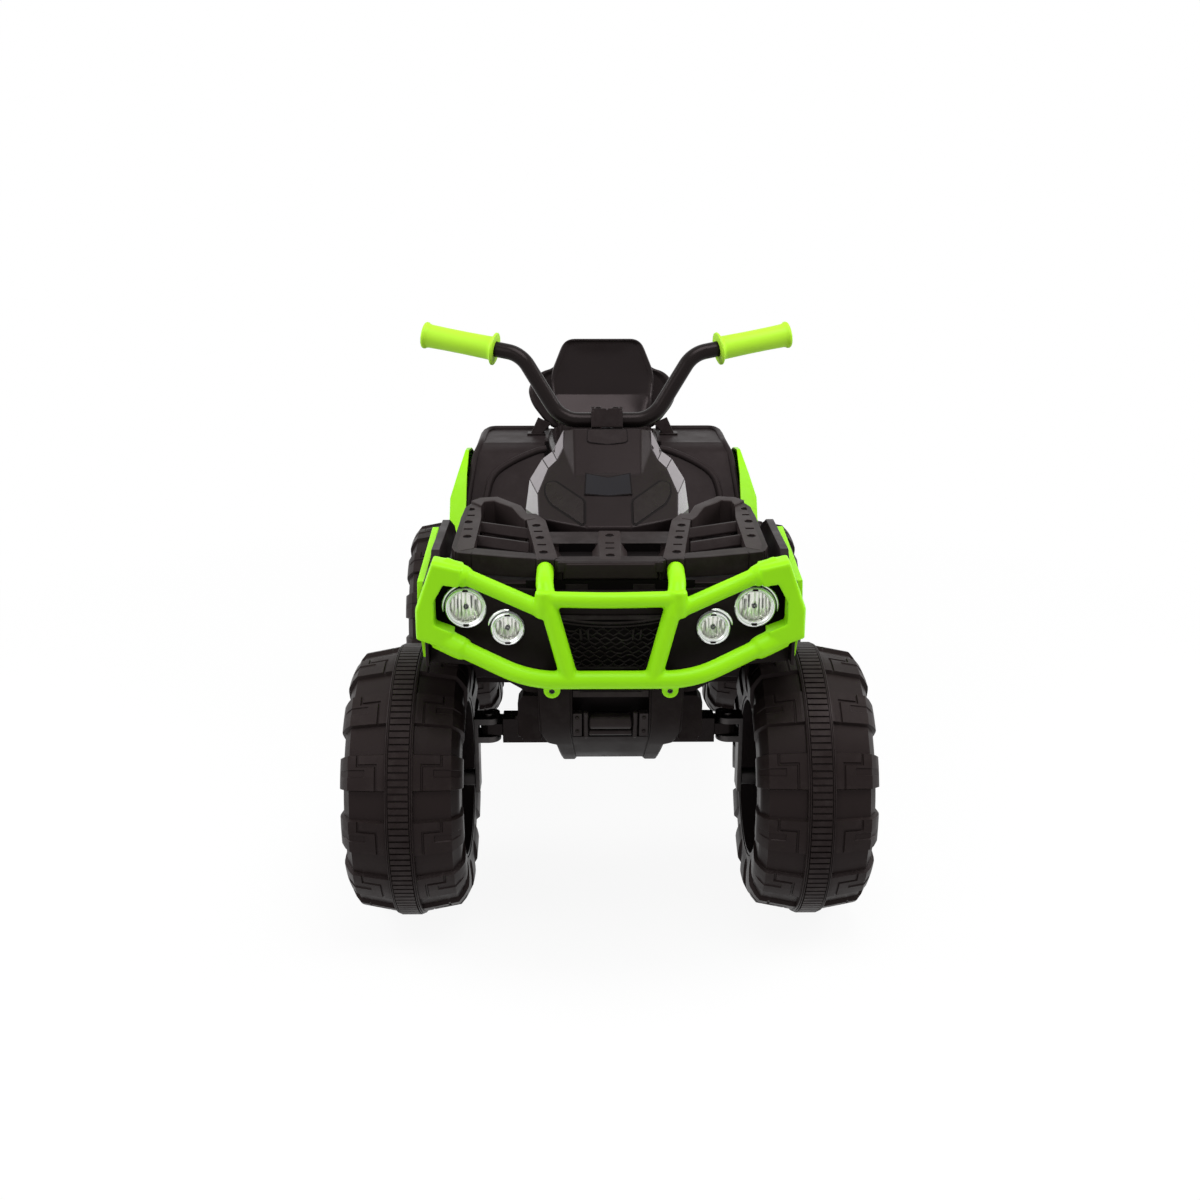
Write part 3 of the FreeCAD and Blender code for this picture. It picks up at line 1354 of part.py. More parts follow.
def rear_shell():
    """Rear fenders and tail in one bent sheet with side skirts."""
    line = rear_line()
    top = bent_sheet(line, sheet, -rear_half, rear_half)
    skirt = side_prism(line, rear_half - sheet, rear_half)
    skirt = skirt.cut(wheel_arch(rear_y, arch_radius, 0, rear_half + overrun))
    room = tub_half + seat_gap
    ridge = rear_half - rear_shoulder
    slope = [(rear_half, rear_crest_z - rear_shoulder_drop),
             (ridge + rear_shoulder / 2, rear_crest_z - rear_shoulder / 2), (ridge, rear_crest_z + overrun)]
    shoulder = front_prism(slope + [(x - sheet, z - sheet) for x, z in slope[::-1]], rear_foot_y, tail_y)
    shoulder = shoulder.common(side_prism(line, 0, rear_half))
    shell = top.fuse([skirt, mirrored(skirt), shoulder, mirrored(shoulder)])
    rounding = front_prism(half_outline([(rear_half, 0)] + slope), rear_foot_y, tail_y)
    shell = shell.common(rounding)
    return shell.cut(box(-room, room, rear_foot_y - overrun, tunnel_rear_y + seat_gap, rear_foot_z - 2 * overrun,
                         rear_crest_z + overrun)).removeSplitter()


def rear_trim():
    """The left green flare over the rear wheel, hollow towards the fender."""
    x0 = rear_half + seat_gap
    line = spread(rear_trim_shares, rear_trim_front_y, rear_trim_rear_y, rear_trim_foot_z, rear_trim_top_z)

    def form(inset, start):
        end = x0 + rear_trim_width - inset
        slope = front_prism([(start, rear_trim_foot_z), (end, rear_trim_foot_z), (end, rear_trim_brow_z - inset),
                             (x0 + rear_trim_lip - inset, rear_trim_top_z - inset), (start, rear_trim_top_z - inset)],
                            rear_trim_front_y, rear_trim_rear_y)
        body = side_prism(offset_line(line, -inset), start, end).common(slope)
        return body.cut(wheel_arch(rear_y, rear_arch_radius + inset, start - overrun, end + overrun))

    return form(0, x0).cut(form(sheet, x0 - overrun))


def tail_lamp():
    points = [(rear_edge_y, tail_lamp_low_z), (tail_y, tail_lamp_low_z), (tail_y, tail_lamp_top_z),
              (rear_edge_y, tail_lamp_top_z)]
    block = side_prism(points, tail_lamp_in_x, tail_lamp_out_x)
    return block.cut(side_prism(rear_line(), -rear_half, rear_half))


def seat():
    """A saddle with drawn-in sides, lofted along the toy."""
    wires = []
    for along, wide, high in seat_row_shares:
        y = seat_front_y + along * seat_length
        half = [(s * wide * seat_half, t * high * seat_height) for s, t in seat_side_shares]
        points = [V(x, y, deck_z + seat_gap + z) for x, z in half_outline(half)]
        wires.append(Part.makePolygon(points + points[:1]))
    body = Part.makeLoft(wires, True, True)
    return body.cut(rear_keep_out())


def rear_keep_out():
    """The room that the rear shell's top takes."""
    return box(-rear_half, rear_half, tunnel_rear_y + seat_gap / 2, rear_tail_y, tub_top_z, rear_crest_z + seat_gap)


def lean_back(shape):
    shape = shape.copy()
    shape.rotate(V(0, back_foot_y, rear_crest_z), V(1, 0, 0), -back_lean)
    return shape


def backrest():
    """A shield-shaped back that leans to the rear, hollowed at its front."""
    base = rear_crest_z + seat_gap
    points = half_outline(spread(back_shares, 0, back_half, base - back_thickness / 2, base + back_height))
    body = rounded_slab([V(x, back_foot_y, z) for x, z in points], back_corner, V(0, back_thickness, 0))
    inner = [(x * back_scoop_share, base + back_height / 2 + (z - base - back_height / 2) * back_scoop_share)
             for x, z in points]
    scoop = rounded_slab([V(x, back_foot_y - overrun, z) for x, z in inner], back_corner,
                         V(0, back_scoop + overrun, 0))
    body = lean_back(body.cut(scoop))
    floor = box(-rear_half, rear_half, 0, tail_y, 0, base)
    return body.cut(floor)


def back_strut():
    """The left strut behind the backrest."""
    base = rear_crest_z + seat_gap
    foot_y = back_foot_y + back_thickness + strut_reach
    top = base + strut_top_share * back_height
    points = [(foot_y, base), (foot_y + strut_depth, base), (back_foot_y + back_thickness, top),
              (back_foot_y, top - strut_depth), (back_foot_y + back_thickness / 2, base)]
    strut = side_prism(points, strut_x - strut_width, strut_x)
    return strut.cut(backrest_hull())


def backrest_hull():
    base = rear_crest_z + seat_gap
    points = half_outline(spread(back_shares, 0, back_half, base - back_thickness / 2, base + back_height))
    return lean_back(rounded_slab([V(x, back_foot_y - back_thickness, z) for x, z in points], back_corner,
                                  V(0, 2 * back_thickness, 0)))


def battery():
    low = tub_floor_z + tub_wall + seat_gap
    return box(-battery_width / 2, battery_width / 2, battery_y, battery_y + battery_length, low, low + battery_height)


def control_box():
    low = tub_floor_z + tub_wall + seat_gap
    return box(-control_width / 2, control_width / 2, control_y, control_y + control_length, low, low + control_height)


def tunnel_half(z):
    share = (z - tub_top_z - seat_gap) / (deck_z - tub_top_z - seat_gap)
    return tub_half + share * (tunnel_top_half - tub_half)


def charging_socket():
    wall = tunnel_half(socket_z - socket_flange_radius) + seat_gap
    body = rod(V(wall - socket_depth, socket_y, socket_z), V(wall + socket_flange, socket_y, socket_z), socket_radius)
    body = body.fuse(rod(V(wall, socket_y, socket_z), V(wall + socket_flange, socket_y, socket_z),
                         socket_flange_radius))
    return body.cut(rod(V(wall - socket_depth / 2, socket_y, socket_z), V(wall + overrun, socket_y, socket_z),
                        socket_pin_radius)).removeSplitter()


def pedal_pivot_z():
    return board_z + board_thickness + board_rib + pedal_pivot_rise


def footboard():
    """The left footboard with its grip ribs."""
    x0 = tub_half + seat_gap
    top = board_z + board_thickness
    board = box(x0, board_half, board_front_y, board_rear_y, board_z, top)
    step = (board_rear_y - board_front_y) / board_rib_count
    ribs = []
    for i in range(board_rib_count):
        y = board_front_y + (i + 0.5) * step
        ribs.append(box(x0 + board_thickness, board_half - board_thickness, y - board_rib_width / 2,
                        y + board_rib_width / 2, top, top + board_rib))
    return board.fuse(ribs).removeSplitter()


def pedal_board():
    """The right footboard, without ribs under the pedal and with two ears for its pin."""
    board = mirrored(footboard())
    top = board_z + board_thickness
    x0, x1 = pedal_x - pedal_width / 2, pedal_x + pedal_width / 2
    ear_y = pedal_ear_depth / 2
    side = pedal_ear + run_gap
    board = board.cut(box(x0 - side, x1 + side, pedal_pivot_y - pedal_length - overrun, pedal_pivot_y + pedal_ear_depth,
                          top, top + 2 * board_rib))
    z = pedal_pivot_z()
    for start in (x0 - side, x1 + run_gap):
        ear = box(start, start + pedal_ear, pedal_pivot_y - ear_y, pedal_pivot_y + ear_y, top, z)
        board = board.fuse([ear, rod(V(start, pedal_pivot_y, z), V(start + pedal_ear, pedal_pivot_y, z), ear_y)])
    bore = rod(V(x0 - 2 * side, pedal_pivot_y, z), V(x1 + 2 * side, pedal_pivot_y, z), pedal_pin_radius + pivot_gap)
    return board.cut(bore).removeSplitter()


def pedal_pin():
    side = pedal_width / 2 + run_gap + pedal_ear
    z = pedal_pivot_z()
    return rod(V(pedal_x - side, pedal_pivot_y, z), V(pedal_x + side, pedal_pivot_y, z), pedal_pin_radius)


def accelerator_pedal():
    """A treadle hinged at its heel end and raised towards the front."""
    z = pedal_pivot_z()
    x0, x1 = pedal_x - pedal_width / 2, pedal_x + pedal_width / 2
    tip = pedal_pivot_y - pedal_length
    points = [(pedal_pivot_y, z - pedal_thickness / 2), (pedal_pivot_y, z + pedal_thickness / 2),
              (tip, z + pedal_lift + pedal_thickness / 2), (tip, z + pedal_lift - pedal_thickness / 2)]
    plate = side_prism(points, x0, x1).fuse(rod(V(x0, pedal_pivot_y, z), V(x1, pedal_pivot_y, z), pedal_hub_radius))
    bore = rod(V(x0 - overrun, pedal_pivot_y, z), V(x1 + overrun, pedal_pivot_y, z), pedal_pin_radius + pivot_gap)
    return plate.cut(bore).removeSplitter()


def pedal_switch():
    low = board_z + board_thickness + seat_gap
    y = pedal_pivot_y - pedal_length / 2
    return box(pedal_x - switch_width / 2, pedal_x + switch_width / 2, y - switch_depth / 2, y + switch_depth / 2,
               low, low + switch_height)


pieces = {
    "chassis_tub": chassis(),
    "body_tunnel": tunnel(),
    "front_axle_beam": front_beam(),
    "kingpins": pair(kingpin()),
    "skid_plate": skid_plate(),
    "front_fenders": nose_shell(),
    "front_fascia": fascia(),
    "grille": grille(),
    "headlight_bezels": lamp_bezels(),
    "headlight_reflectors": lamp_reflectors(),
    "headlight_lenses": lamp_lenses(),
    "headlight_bulbs": lamp_bulbs(),
    "front_bumper": bumper(),
    "bumper_screws": bumper_screws(),
    "front_rack": front_rack(),
    "fender_fins": pair(fender_fin()),
    "front_fender_trims": pair(front_trim()),
    "bonnet": hood(),
    "bonnet_window": hood_window(),
    "bonnet_panels": pair(hood_panel()),
    "dash_panel": dash_panel(),
    "start_button": start_button(),
    "direction_rocker": rocker(-rocker_x),
    "speed_rocker": rocker(rocker_x),
    "steering_bushes": steering_bushes(),
    "steering_shaft": steering_shaft(),
    "handlebar": handlebar(),
    "handlebar_clamp": handlebar_clamp(),
    "clamp_screws": clamp_screws(),
    "grips": pair(grip()),
    "knuckle_left": knuckle(),
    "knuckle_right": mirrored(knuckle()),
    "tie_rod": tie_rod(),
    "rear_fenders": rear_shell(),
    "rear_fender_trims": pair(rear_trim()),
    "tail_lamps": pair(tail_lamp()),
    "seat": seat(),
    "backrest": Part.makeCompound([backrest(), back_strut(), mirrored(back_strut())]),
    "battery": battery(),
    "control_box": control_box(),
    "charging_socket": charging_socket(),
    "rear_axle": Part.makeCompound([rear_axle(), nut(rear_y), mirrored(nut(rear_y))]),
    "gearboxes": pair(gearbox()),
    "drive_motors": pair(drive_motor()),
    "motor_pinion_left": motor_pinion(),
    "motor_pinion_right": mirrored(motor_pinion()),
    "drive_gear_left": drive_gear(),
    "drive_gear_right": mirrored(drive_gear()),
    "footboards": Part.makeCompound([footboard(), pedal_board()]),
    "accelerator_pedal": accelerator_pedal(),
    "pedal_pin": pedal_pin(),
    "pedal_switch": pedal_switch(),
}

tyre_shape, rim_shape, cap_shape = tyre(), rim(), hub_cap()
wheel_shape = Part.makeCompound([rim_shape, cap_shape])
for end, y in (("front", front_y), ("rear", rear_y)):
    for side in ("left", "right"):
        pieces["tyre_%s_%s" % (end, side)] = at_wheel(tyre_shape, y, side == "left")
        pieces["rim_%s_%s" % (end, side)] = at_wheel(wheel_shape, y, side == "left")

for name, shape in pieces.items():
    shape.exportStep("parts/%s.step" % name)
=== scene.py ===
"""Looks of a child's ride-on quad bike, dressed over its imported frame."""
import json
import math

import bmesh
import bpy
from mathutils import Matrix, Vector


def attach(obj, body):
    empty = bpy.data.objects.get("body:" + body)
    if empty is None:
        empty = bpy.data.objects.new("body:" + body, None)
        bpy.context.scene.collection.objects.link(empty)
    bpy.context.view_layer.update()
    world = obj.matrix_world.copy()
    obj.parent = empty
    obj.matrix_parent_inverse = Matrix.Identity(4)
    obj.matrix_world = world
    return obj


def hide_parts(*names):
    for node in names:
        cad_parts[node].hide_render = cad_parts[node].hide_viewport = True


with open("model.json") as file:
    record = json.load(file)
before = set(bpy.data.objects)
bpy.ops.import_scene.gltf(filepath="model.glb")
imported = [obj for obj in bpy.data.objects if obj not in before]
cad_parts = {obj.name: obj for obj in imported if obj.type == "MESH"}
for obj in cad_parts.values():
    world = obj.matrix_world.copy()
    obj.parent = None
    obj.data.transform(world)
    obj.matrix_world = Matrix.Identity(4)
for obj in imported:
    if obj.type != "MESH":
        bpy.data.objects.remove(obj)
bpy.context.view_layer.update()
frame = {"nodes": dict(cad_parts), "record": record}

MM = 0.001
soft_angle = 28.0  # degrees: edges that bend more are softened
node_body = {node: body for body, nodes in frame["record"]["behaviour"]["bodies"].items() for node in nodes}

# Places that several pieces share, in millimetres

wheel_x, wheel_y, wheel_z = 257.5, 325.0, 180.0
deck_top = 495.2
carrier_foot = 495.4
rear_deck = 502.4
column_foot, column_top = (0, -188.6, 504.7), (0, -140.0, 627.0)

# Mesh tools: points are in millimetres until a piece is made


def link(name, data):
    obj = bpy.data.objects.new(name, data)
    bpy.context.scene.collection.objects.link(obj)
    return obj


def make_piece(name, points, faces):
    mesh = bpy.data.meshes.new(name)
    mesh.from_pydata([(x * MM, y * MM, z * MM) for x, y, z in points], [], faces)
    form = bmesh.new()
    form.from_mesh(mesh)
    bmesh.ops.remove_doubles(form, verts=form.verts, dist=1e-6)
    bmesh.ops.recalc_face_normals(form, faces=form.faces)
    form.to_mesh(mesh)
    form.free()
    return link(name, mesh)


def settle(obj):
    """Turns the piece's modifiers into plain mesh."""
    graph = bpy.context.evaluated_depsgraph_get()
    graph.update()
    mesh = bpy.data.meshes.new_from_object(obj.evaluated_get(graph))
    obj.modifiers.clear()
    obj.data = mesh
    return obj


def bevelled(obj, width, segments, angle, clamp):
    bevel = obj.modifiers.new("soft edges", "BEVEL")
    bevel.width = width * MM
    bevel.segments = segments
    bevel.limit_method = "ANGLE"
    bevel.angle_limit = math.radians(angle)
    bevel.use_clamp_overlap = clamp
    return settle(obj)


def rounded(obj, width, segments=2, angle=soft_angle):
    return bevelled(obj, width, segments, angle, True)


def dress(obj, finish, body, *stands_for, crease=34.0):
    """Gives the piece its finish, shading and body, and hides the nodes that it stands for."""
    obj.data.materials.clear()
    obj.data.materials.append(finish)
    for face in obj.data.polygons:
        face.use_smooth = True
        face.material_index = 0
    obj.data.set_sharp_from_angle(angle=math.radians(crease))
    even = obj.modifiers.new("even shading", "WEIGHTED_NORMAL")
    even.keep_sharp = True
    settle(obj)
    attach(obj, body)
    if stands_for:
        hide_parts(*stands_for)
    return obj


def piece(name, form, finish, *stands_for, body="chassis", edge=0.0, segments=2, angle=soft_angle, crease=34.0):
    """Makes a form into a dressed piece, with round edges where edge is given."""
    obj = make_piece(name, *form)
    if edge:
        rounded(obj, edge, segments, angle)
    return dress(obj, finish, body, *stands_for, crease=crease)


def moulded(node, finish, edge=0.9, segments=2):
    """A node with its edges softened as a mould leaves them."""
    obj = link("soft_" + node, frame["nodes"][node].data.copy())
    form = bmesh.new()
    form.from_mesh(obj.data)
    bmesh.ops.remove_doubles(form, verts=form.verts, dist=2e-6)
    bmesh.ops.dissolve_limit(form, angle_limit=math.radians(0.8), verts=form.verts, edges=form.edges)
    form.to_mesh(obj.data)
    form.free()
    bevelled(obj, edge, segments, soft_angle, False)
    return dress(obj, finish, node_body[node], node)


# Finishes


def give(node, **values):
    """Sets a node's inputs by name, with an underscore for each space."""
    for label, value in values.items():
        node.inputs[label.replace("_", " ")].default_value = value
    return node


def wire(tree, *links):
    """Links nodes, each link given as node, output, node, input."""
    for source, out, target, into in links:
        tree.links.new(source.outputs[out], target.inputs[into])


def node_group(name, inputs, outputs):
    group = bpy.data.node_groups.new(name, "ShaderNodeTree")
    for label, kind, value in inputs:
        socket = group.interface.new_socket(label, in_out="INPUT", socket_type=kind)
        if value is not None:
            socket.default_value = value
    for label, kind in outputs:
        group.interface.new_socket(label, in_out="OUTPUT", socket_type=kind)
    return group, group.nodes.new("NodeGroupInput"), group.nodes.new("NodeGroupOutput")


def noise_node(tree, scale, detail, rough=0.55):
    return give(tree.nodes.new("ShaderNodeTexNoise"), Scale=scale, Detail=detail, Roughness=rough)


def spread_node(tree, low, high, to_low=0.0, to_high=1.0):
    return give(tree.nodes.new("ShaderNodeMapRange"), From_Min=low, From_Max=high, To_Min=to_low, To_Max=to_high)


def maths_node(tree, operation, place=0, value=0.5):
    """A node that works on numbers, with one of its inputs set."""
    node = tree.nodes.new("ShaderNodeMath")
    node.operation = operation
    node.inputs[place].default_value = value
    return node


def mix_node(tree, mode="MIX"):
    node = tree.nodes.new("ShaderNodeMix")
    node.data_type = "RGBA"
    node.blend_type = mode
    return node


def moulding_group():
    """Cloudy colour, uneven gloss and fine mould grain of a plastic shell."""
    colour, number = "NodeSocketColor", "NodeSocketFloat"
    group, given, put = node_group(
        "moulded plastic", [("Colour", colour, None), ("Cloud", number, 0.12), ("Gloss low", number, 0.3),
                            ("Gloss high", number, 0.42), ("Grain size", number, 900.0)],
        [("Colour", colour), ("Roughness", number), ("Height", number)])
    place = group.nodes.new("ShaderNodeTexCoord")
    cloud, smear, grain = noise_node(group, 9.0, 5.0), noise_node(group, 26.0, 4.0), noise_node(group, 900.0, 3.0, 0.6)
    centred = maths_node(group, "SUBTRACT", 1, 0.5)
    darker = maths_node(group, "MULTIPLY_ADD", 2, 1.0)
    tint = give(mix_node(group, "MULTIPLY"), Factor=1.0)
    gloss = spread_node(group, 0.32, 0.68)
    wire(group, (place, "Object", cloud, "Vector"), (cloud, "Fac", centred, 0), (centred, 0, darker, 0),
         (given, "Cloud", darker, 1), (given, "Colour", tint, "A"), (darker, 0, tint, "B"),
         (tint, "Result", put, "Colour"), (place, "Object", smear, "Vector"), (smear, "Fac", gloss, "Value"),
         (given, "Gloss low", gloss, "To Min"), (given, "Gloss high", gloss, "To Max"),
         (gloss, "Result", put, "Roughness"), (place, "Object", grain, "Vector"),
         (given, "Grain size", grain, "Scale"), (grain, "Fac", put, "Height"))
    return group


def rub_group():
    """Where handling has rubbed an edge: a broken mask on outward corners."""
    number = "NodeSocketFloat"
    group, given, put = node_group("rubbed edges", [("Reach", number, 0.55), ("Strength", number, 0.5)],
                                   [("Mask", number)])
    shape, place = group.nodes.new("ShaderNodeNewGeometry"), group.nodes.new("ShaderNodeTexCoord")
    edge, broken = spread_node(group, 0.52, 0.62), spread_node(group, 0.42, 0.66)
    chips = noise_node(group, 60.0, 6.0, 0.7)
    both, scaled = maths_node(group, "MULTIPLY"), maths_node(group, "MULTIPLY")
    wire(group, (shape, "Pointiness", edge, "Value"), (given, "Reach", edge, "From Max"),
         (place, "Object", chips, "Vector"), (chips, "Fac", broken, "Value"), (edge, "Result", both, 0),
         (broken, "Result", both, 1), (both, 0, scaled, 0), (given, "Strength", scaled, 1), (scaled, 0, put, "Mask"))
    return group


moulding = moulding_group()
rubbing = rub_group()


def new_finish(name, slot):
    finish = bpy.data.materials.new(name)
    finish["slot"] = slot
    finish.use_nodes = True
    return finish, finish.node_tree, finish.node_tree.nodes["Principled BSDF"]


def placed(tree, group, **values):
    node = tree.nodes.new("ShaderNodeGroup")
    node.node_tree = group
    return give(node, **values)


black_below = 0.05  # colours darker than this take the warm sheen
warm_sheen, plain_sheen = (1.0, 0.84, 0.86, 1.0), (1.0, 1.0, 1.0, 1.0)


def plastic(name, colour, gloss, slot, cloud=0.16, grain=0.06, grain_size=900.0, rub=0.35, rub_colour=None, coat=0.0,
            metal=0.0, shine=0.5):
    """A moulded finish: clouded colour, uneven gloss, mould grain and rubbed edges."""
    finish, tree, shader = new_finish(name, slot)
    base = placed(tree, moulding, Colour=(*colour, 1.0), Cloud=cloud, Gloss_low=gloss[0], Gloss_high=gloss[1],
                  Grain_size=grain_size)
    worn = placed(tree, rubbing, Reach=0.6, Strength=rub)
    lighter = rub_colour or tuple(min(1.0, part * 2.2 + 0.02) for part in colour)
    blend = give(mix_node(tree), B=(*lighter, 1.0))
    bump = give(tree.nodes.new("ShaderNodeBump"), Strength=grain, Distance=0.0004)
    wire(tree, (worn, "Mask", blend, "Factor"), (base, "Colour", blend, "A"), (blend, "Result", shader, "Base Color"),
         (base, "Roughness", shader, "Roughness"), (base, "Height", bump, "Height"), (bump, "Normal", shader, "Normal"))
    sheen = warm_sheen if max(colour) < black_below else plain_sheen
    give(shader, Metallic=metal, Specular_IOR_Level=shine, Specular_Tint=sheen, Coat_Weight=coat, Coat_Roughness=0.06)
    return finish


lime = plastic("lime green moulding", (0.285, 0.72, 0.005), (0.34, 0.46), "lime_shell", cloud=0.10, grain=0.10,
               rub=0.25, rub_colour=(0.42, 0.80, 0.08), shine=0.14)
lime_grip = plastic("lime green grips", (0.41, 0.76, 0.030), (0.42, 0.55), "grip_rubber", cloud=0.10, grain=0.16,
                    rub=0.2, rub_colour=(0.48, 0.82, 0.12), shine=0.2)
satin_black = plastic("satin black moulding", (0.0105, 0.0074, 0.0074), (0.30, 0.44), "satin_black",
                      grain=0.12, shine=0.10)
# Front fascia: the satin black darkened further, as painted shade under the carrier.
nose_black_painted_shade = plastic("nose moulding darkened for painted shade", (0.0068, 0.0052, 0.0046), (0.32, 0.46), "satin_black",
                     grain=0.12, shine=0.07)
# Skid plate, legs and chin: the satin black darkened further, as painted shade on the low front.
skid_black_painted_shade = plastic("skid moulding darkened for painted shade", (0.0080, 0.0058, 0.0054), (0.32, 0.46), "satin_black",
                     grain=0.12, shine=0.06)
winch_black = plastic("dark winch fittings", (0.0125, 0.0098, 0.0092), (0.30, 0.42), "satin_black",
                      grain=0.08, shine=0.14)
grille_black = plastic("dark grille ribs", (0.0100, 0.0082, 0.0074), (0.22, 0.34), "satin_black",
                       grain=0.04, shine=0.10)
carrier_black = plastic("satin black carrier", (0.0125, 0.0090, 0.0088), (0.32, 0.44), "satin_black",
                        grain=0.14, shine=0.10)
rail_black = plastic("satin black rails", (0.0220, 0.0164, 0.0160), (0.32, 0.44), "satin_black",
                     grain=0.14, shine=0.10)
hood_panel_black = plastic("satin black hood panel", (0.0120, 0.0090, 0.0086), (0.24, 0.36), "satin_black",
                           grain=0.08, shine=0.10)
# Real glossy side facets on the hood, with a pale grey base that paints in the white room's reflection.
strip_grey_painted_reflection = plastic("glossy hood facets with painted reflection", (0.17, 0.150, 0.160), (0.14, 0.22), "satin_black", cloud=0.10,
                      grain=0.02, rub=0.15, shine=0.6)
# Near black: the real dark of the hood seams, and painted shade for the sheets in the nose and carrier.
seam_and_shade_black = plastic("dark seam and painted shade", (0.0030, 0.0024, 0.0024), (0.50, 0.62), "satin_black", rub=0.0, shine=0.08)
gloss_black = plastic("gloss black moulding", (0.0095, 0.0070, 0.0070), (0.16, 0.26), "gloss_black_shell", cloud=0.10,
                      grain=0.02, rub=0.12, shine=0.06)
fender_black = plastic("black fender moulding", (0.0205, 0.0158, 0.0160), (0.34, 0.46), "gloss_black_shell",
                       cloud=0.14, grain=0.06, rub=0.2, shine=0.04)
back_black = plastic("gloss black backrest", (0.0120, 0.0092, 0.0092), (0.12, 0.20), "gloss_black_shell", cloud=0.25,
                     grain=0.02, rub=0.3, rub_colour=(0.10, 0.09, 0.09), shine=0.12)
tyre_black = plastic("brown-black tyre moulding", (0.0130, 0.0092, 0.0088), (0.36, 0.50), "tyre_plastic", grain=0.20,
                     grain_size=1400.0, shine=0.10)
rim_black = plastic("dark rim moulding", (0.016, 0.0125, 0.0125), (0.30, 0.42), "rim_plastic", grain=0.10, shine=0.08)
bar_black = plastic("black painted steel", (0.0095, 0.0075, 0.0072), (0.20, 0.30), "black_steel", grain=0.05, rub=0.15,
                    rub_colour=(0.07, 0.065, 0.065), shine=0.10)
dull_steel = plastic("dull steel", (0.060, 0.055, 0.055), (0.36, 0.52), "zinc_steel", cloud=0.3, grain=0.08, rub=0.3,
                     rub_colour=(0.20, 0.19, 0.18), metal=1.0)
zinc = plastic("zinc plated steel", (0.42, 0.42, 0.43), (0.26, 0.44), "zinc_steel", cloud=0.3, grain=0.05, rub=0.3,
               rub_colour=(0.6, 0.6, 0.6), metal=1.0)
chrome = plastic("bright metallised plastic", (0.86, 0.87, 0.86), (0.16, 0.26), "bright_trim", cloud=0.08, grain=0.0,
                 rub=0.0, metal=0.75)
lamp_silver = plastic("silvered lamp flutes", (0.96, 0.95, 0.90), (0.12, 0.22), "mirror_bowl", cloud=0.10, grain=0.0,
                      rub=0.0, metal=0.6)
mirror = plastic("metallised lamp bowl", (0.88, 0.88, 0.85), (0.06, 0.16), "mirror_bowl", cloud=0.08, grain=0.0,
                 rub=0.0, metal=1.0)
frosted = plastic("frosted bulb", (0.78, 0.76, 0.70), (0.2, 0.3), "lamp_bulb", cloud=0.05, rub=0.0)
smoked = plastic("smoked window gloss", (0.009, 0.0094, 0.0115), (0.06, 0.14), "smoked_window", cloud=0.5, grain=0.0,
                 rub=0.0, shine=0.14)
red_lens = plastic("red tail lens", (0.36, 0.006, 0.006), (0.06, 0.14), "red_lens", cloud=0.12, grain=0.0, rub=0.0,
                   coat=0.5)
red_knob = plastic("red start button", (0.50, 0.012, 0.010), (0.22, 0.34), "red_button", grain=0.06, rub=0.2)
case_grey = plastic("battery case", (0.055, 0.055, 0.060), (0.40, 0.55), "battery_case", grain=0.2)
nylon = plastic("white gear nylon", (0.62, 0.60, 0.55), (0.35, 0.5), "gear_nylon", grain=0.08, rub=0.1)
brass = plastic("brass pinion", (0.62, 0.42, 0.13), (0.22, 0.36), "brass_gear", cloud=0.2, grain=0.03, metal=1.0)


def clear_plastic():
    """Thin clear lamp cover that lets light straight through; its flutes are in its shape."""
    finish, tree, shader = new_finish("clear lamp cover", "clear_lens")
    base = placed(tree, moulding, Colour=(0.98, 0.985, 0.98, 1.0), Cloud=0.06, Gloss_low=0.02, Gloss_high=0.07)
    wire(tree, (base, "Colour", shader, "Base Color"), (base, "Roughness", shader, "Roughness"))
    give(shader, Transmission_Weight=1.0, Alpha=0.35, IOR=1.3)
    return finish


clear_cover = clear_plastic()

# Forms: each gives points and faces that a piece is made of

square = ((-1, -1), (1, -1), (1, 1), (-1, 1))


def joined(*forms):
    """Several forms as one list of points and faces."""
    points, faces = [], []
    for some_points, some_faces in forms:
        start = len(points)
        points += list(some_points)
        faces += [tuple(start + i for i in face) for face in some_faces]
    return points, faces


def mirrored(form):
    points, faces = form
    return [(-x, y, z) for x, y, z in points], [face[::-1] for face in faces]


def pair(form):
    return joined(form, mirrored(form))


def skin(rows, closed=True, caps=True, looped=False):
    """Faces over rows of points: closed rows run round, caps shut both ends, looped joins the last row to the first."""
    count = len(rows[0])
    faces = []
    for i in range(len(rows) if looped else len(rows) - 1):
        n = (i + 1) % len(rows)
        for j in range(count if closed else count - 1):
            k = (j + 1) % count
            faces.append((i * count + j, i * count + k, n * count + k, n * count + j))
    if caps:
        faces.append(tuple(range(count))[::-1])
        faces.append(tuple((len(rows) - 1) * count + j for j in range(count)))
    return [point for row in rows for point in row], faces


def ring_skin(rows):
    return skin(rows, True, False, True)


def prism(outline, shift):
    """An outline of points pushed along a vector."""
    end = [tuple(Vector(point) + Vector(shift)) for point in outline]
    return skin([outline, end])


def facing(outline, y, depth):
    """An outline of (x, z) that faces the front, from y to y + depth."""
    return prism([(x, y, z) for x, z in outline], (0, depth, 0))


def sideways(outline, x, depth):
    """An outline of (y, z) that faces the side, from x to x + depth."""
    return prism([(x, y, z) for y, z in outline], (depth, 0, 0))


def slab(x0, x1, y, z0, z1, depth):
    return facing([(x0, z0), (x1, z0), (x1, z1), (x0, z1)], y, depth)


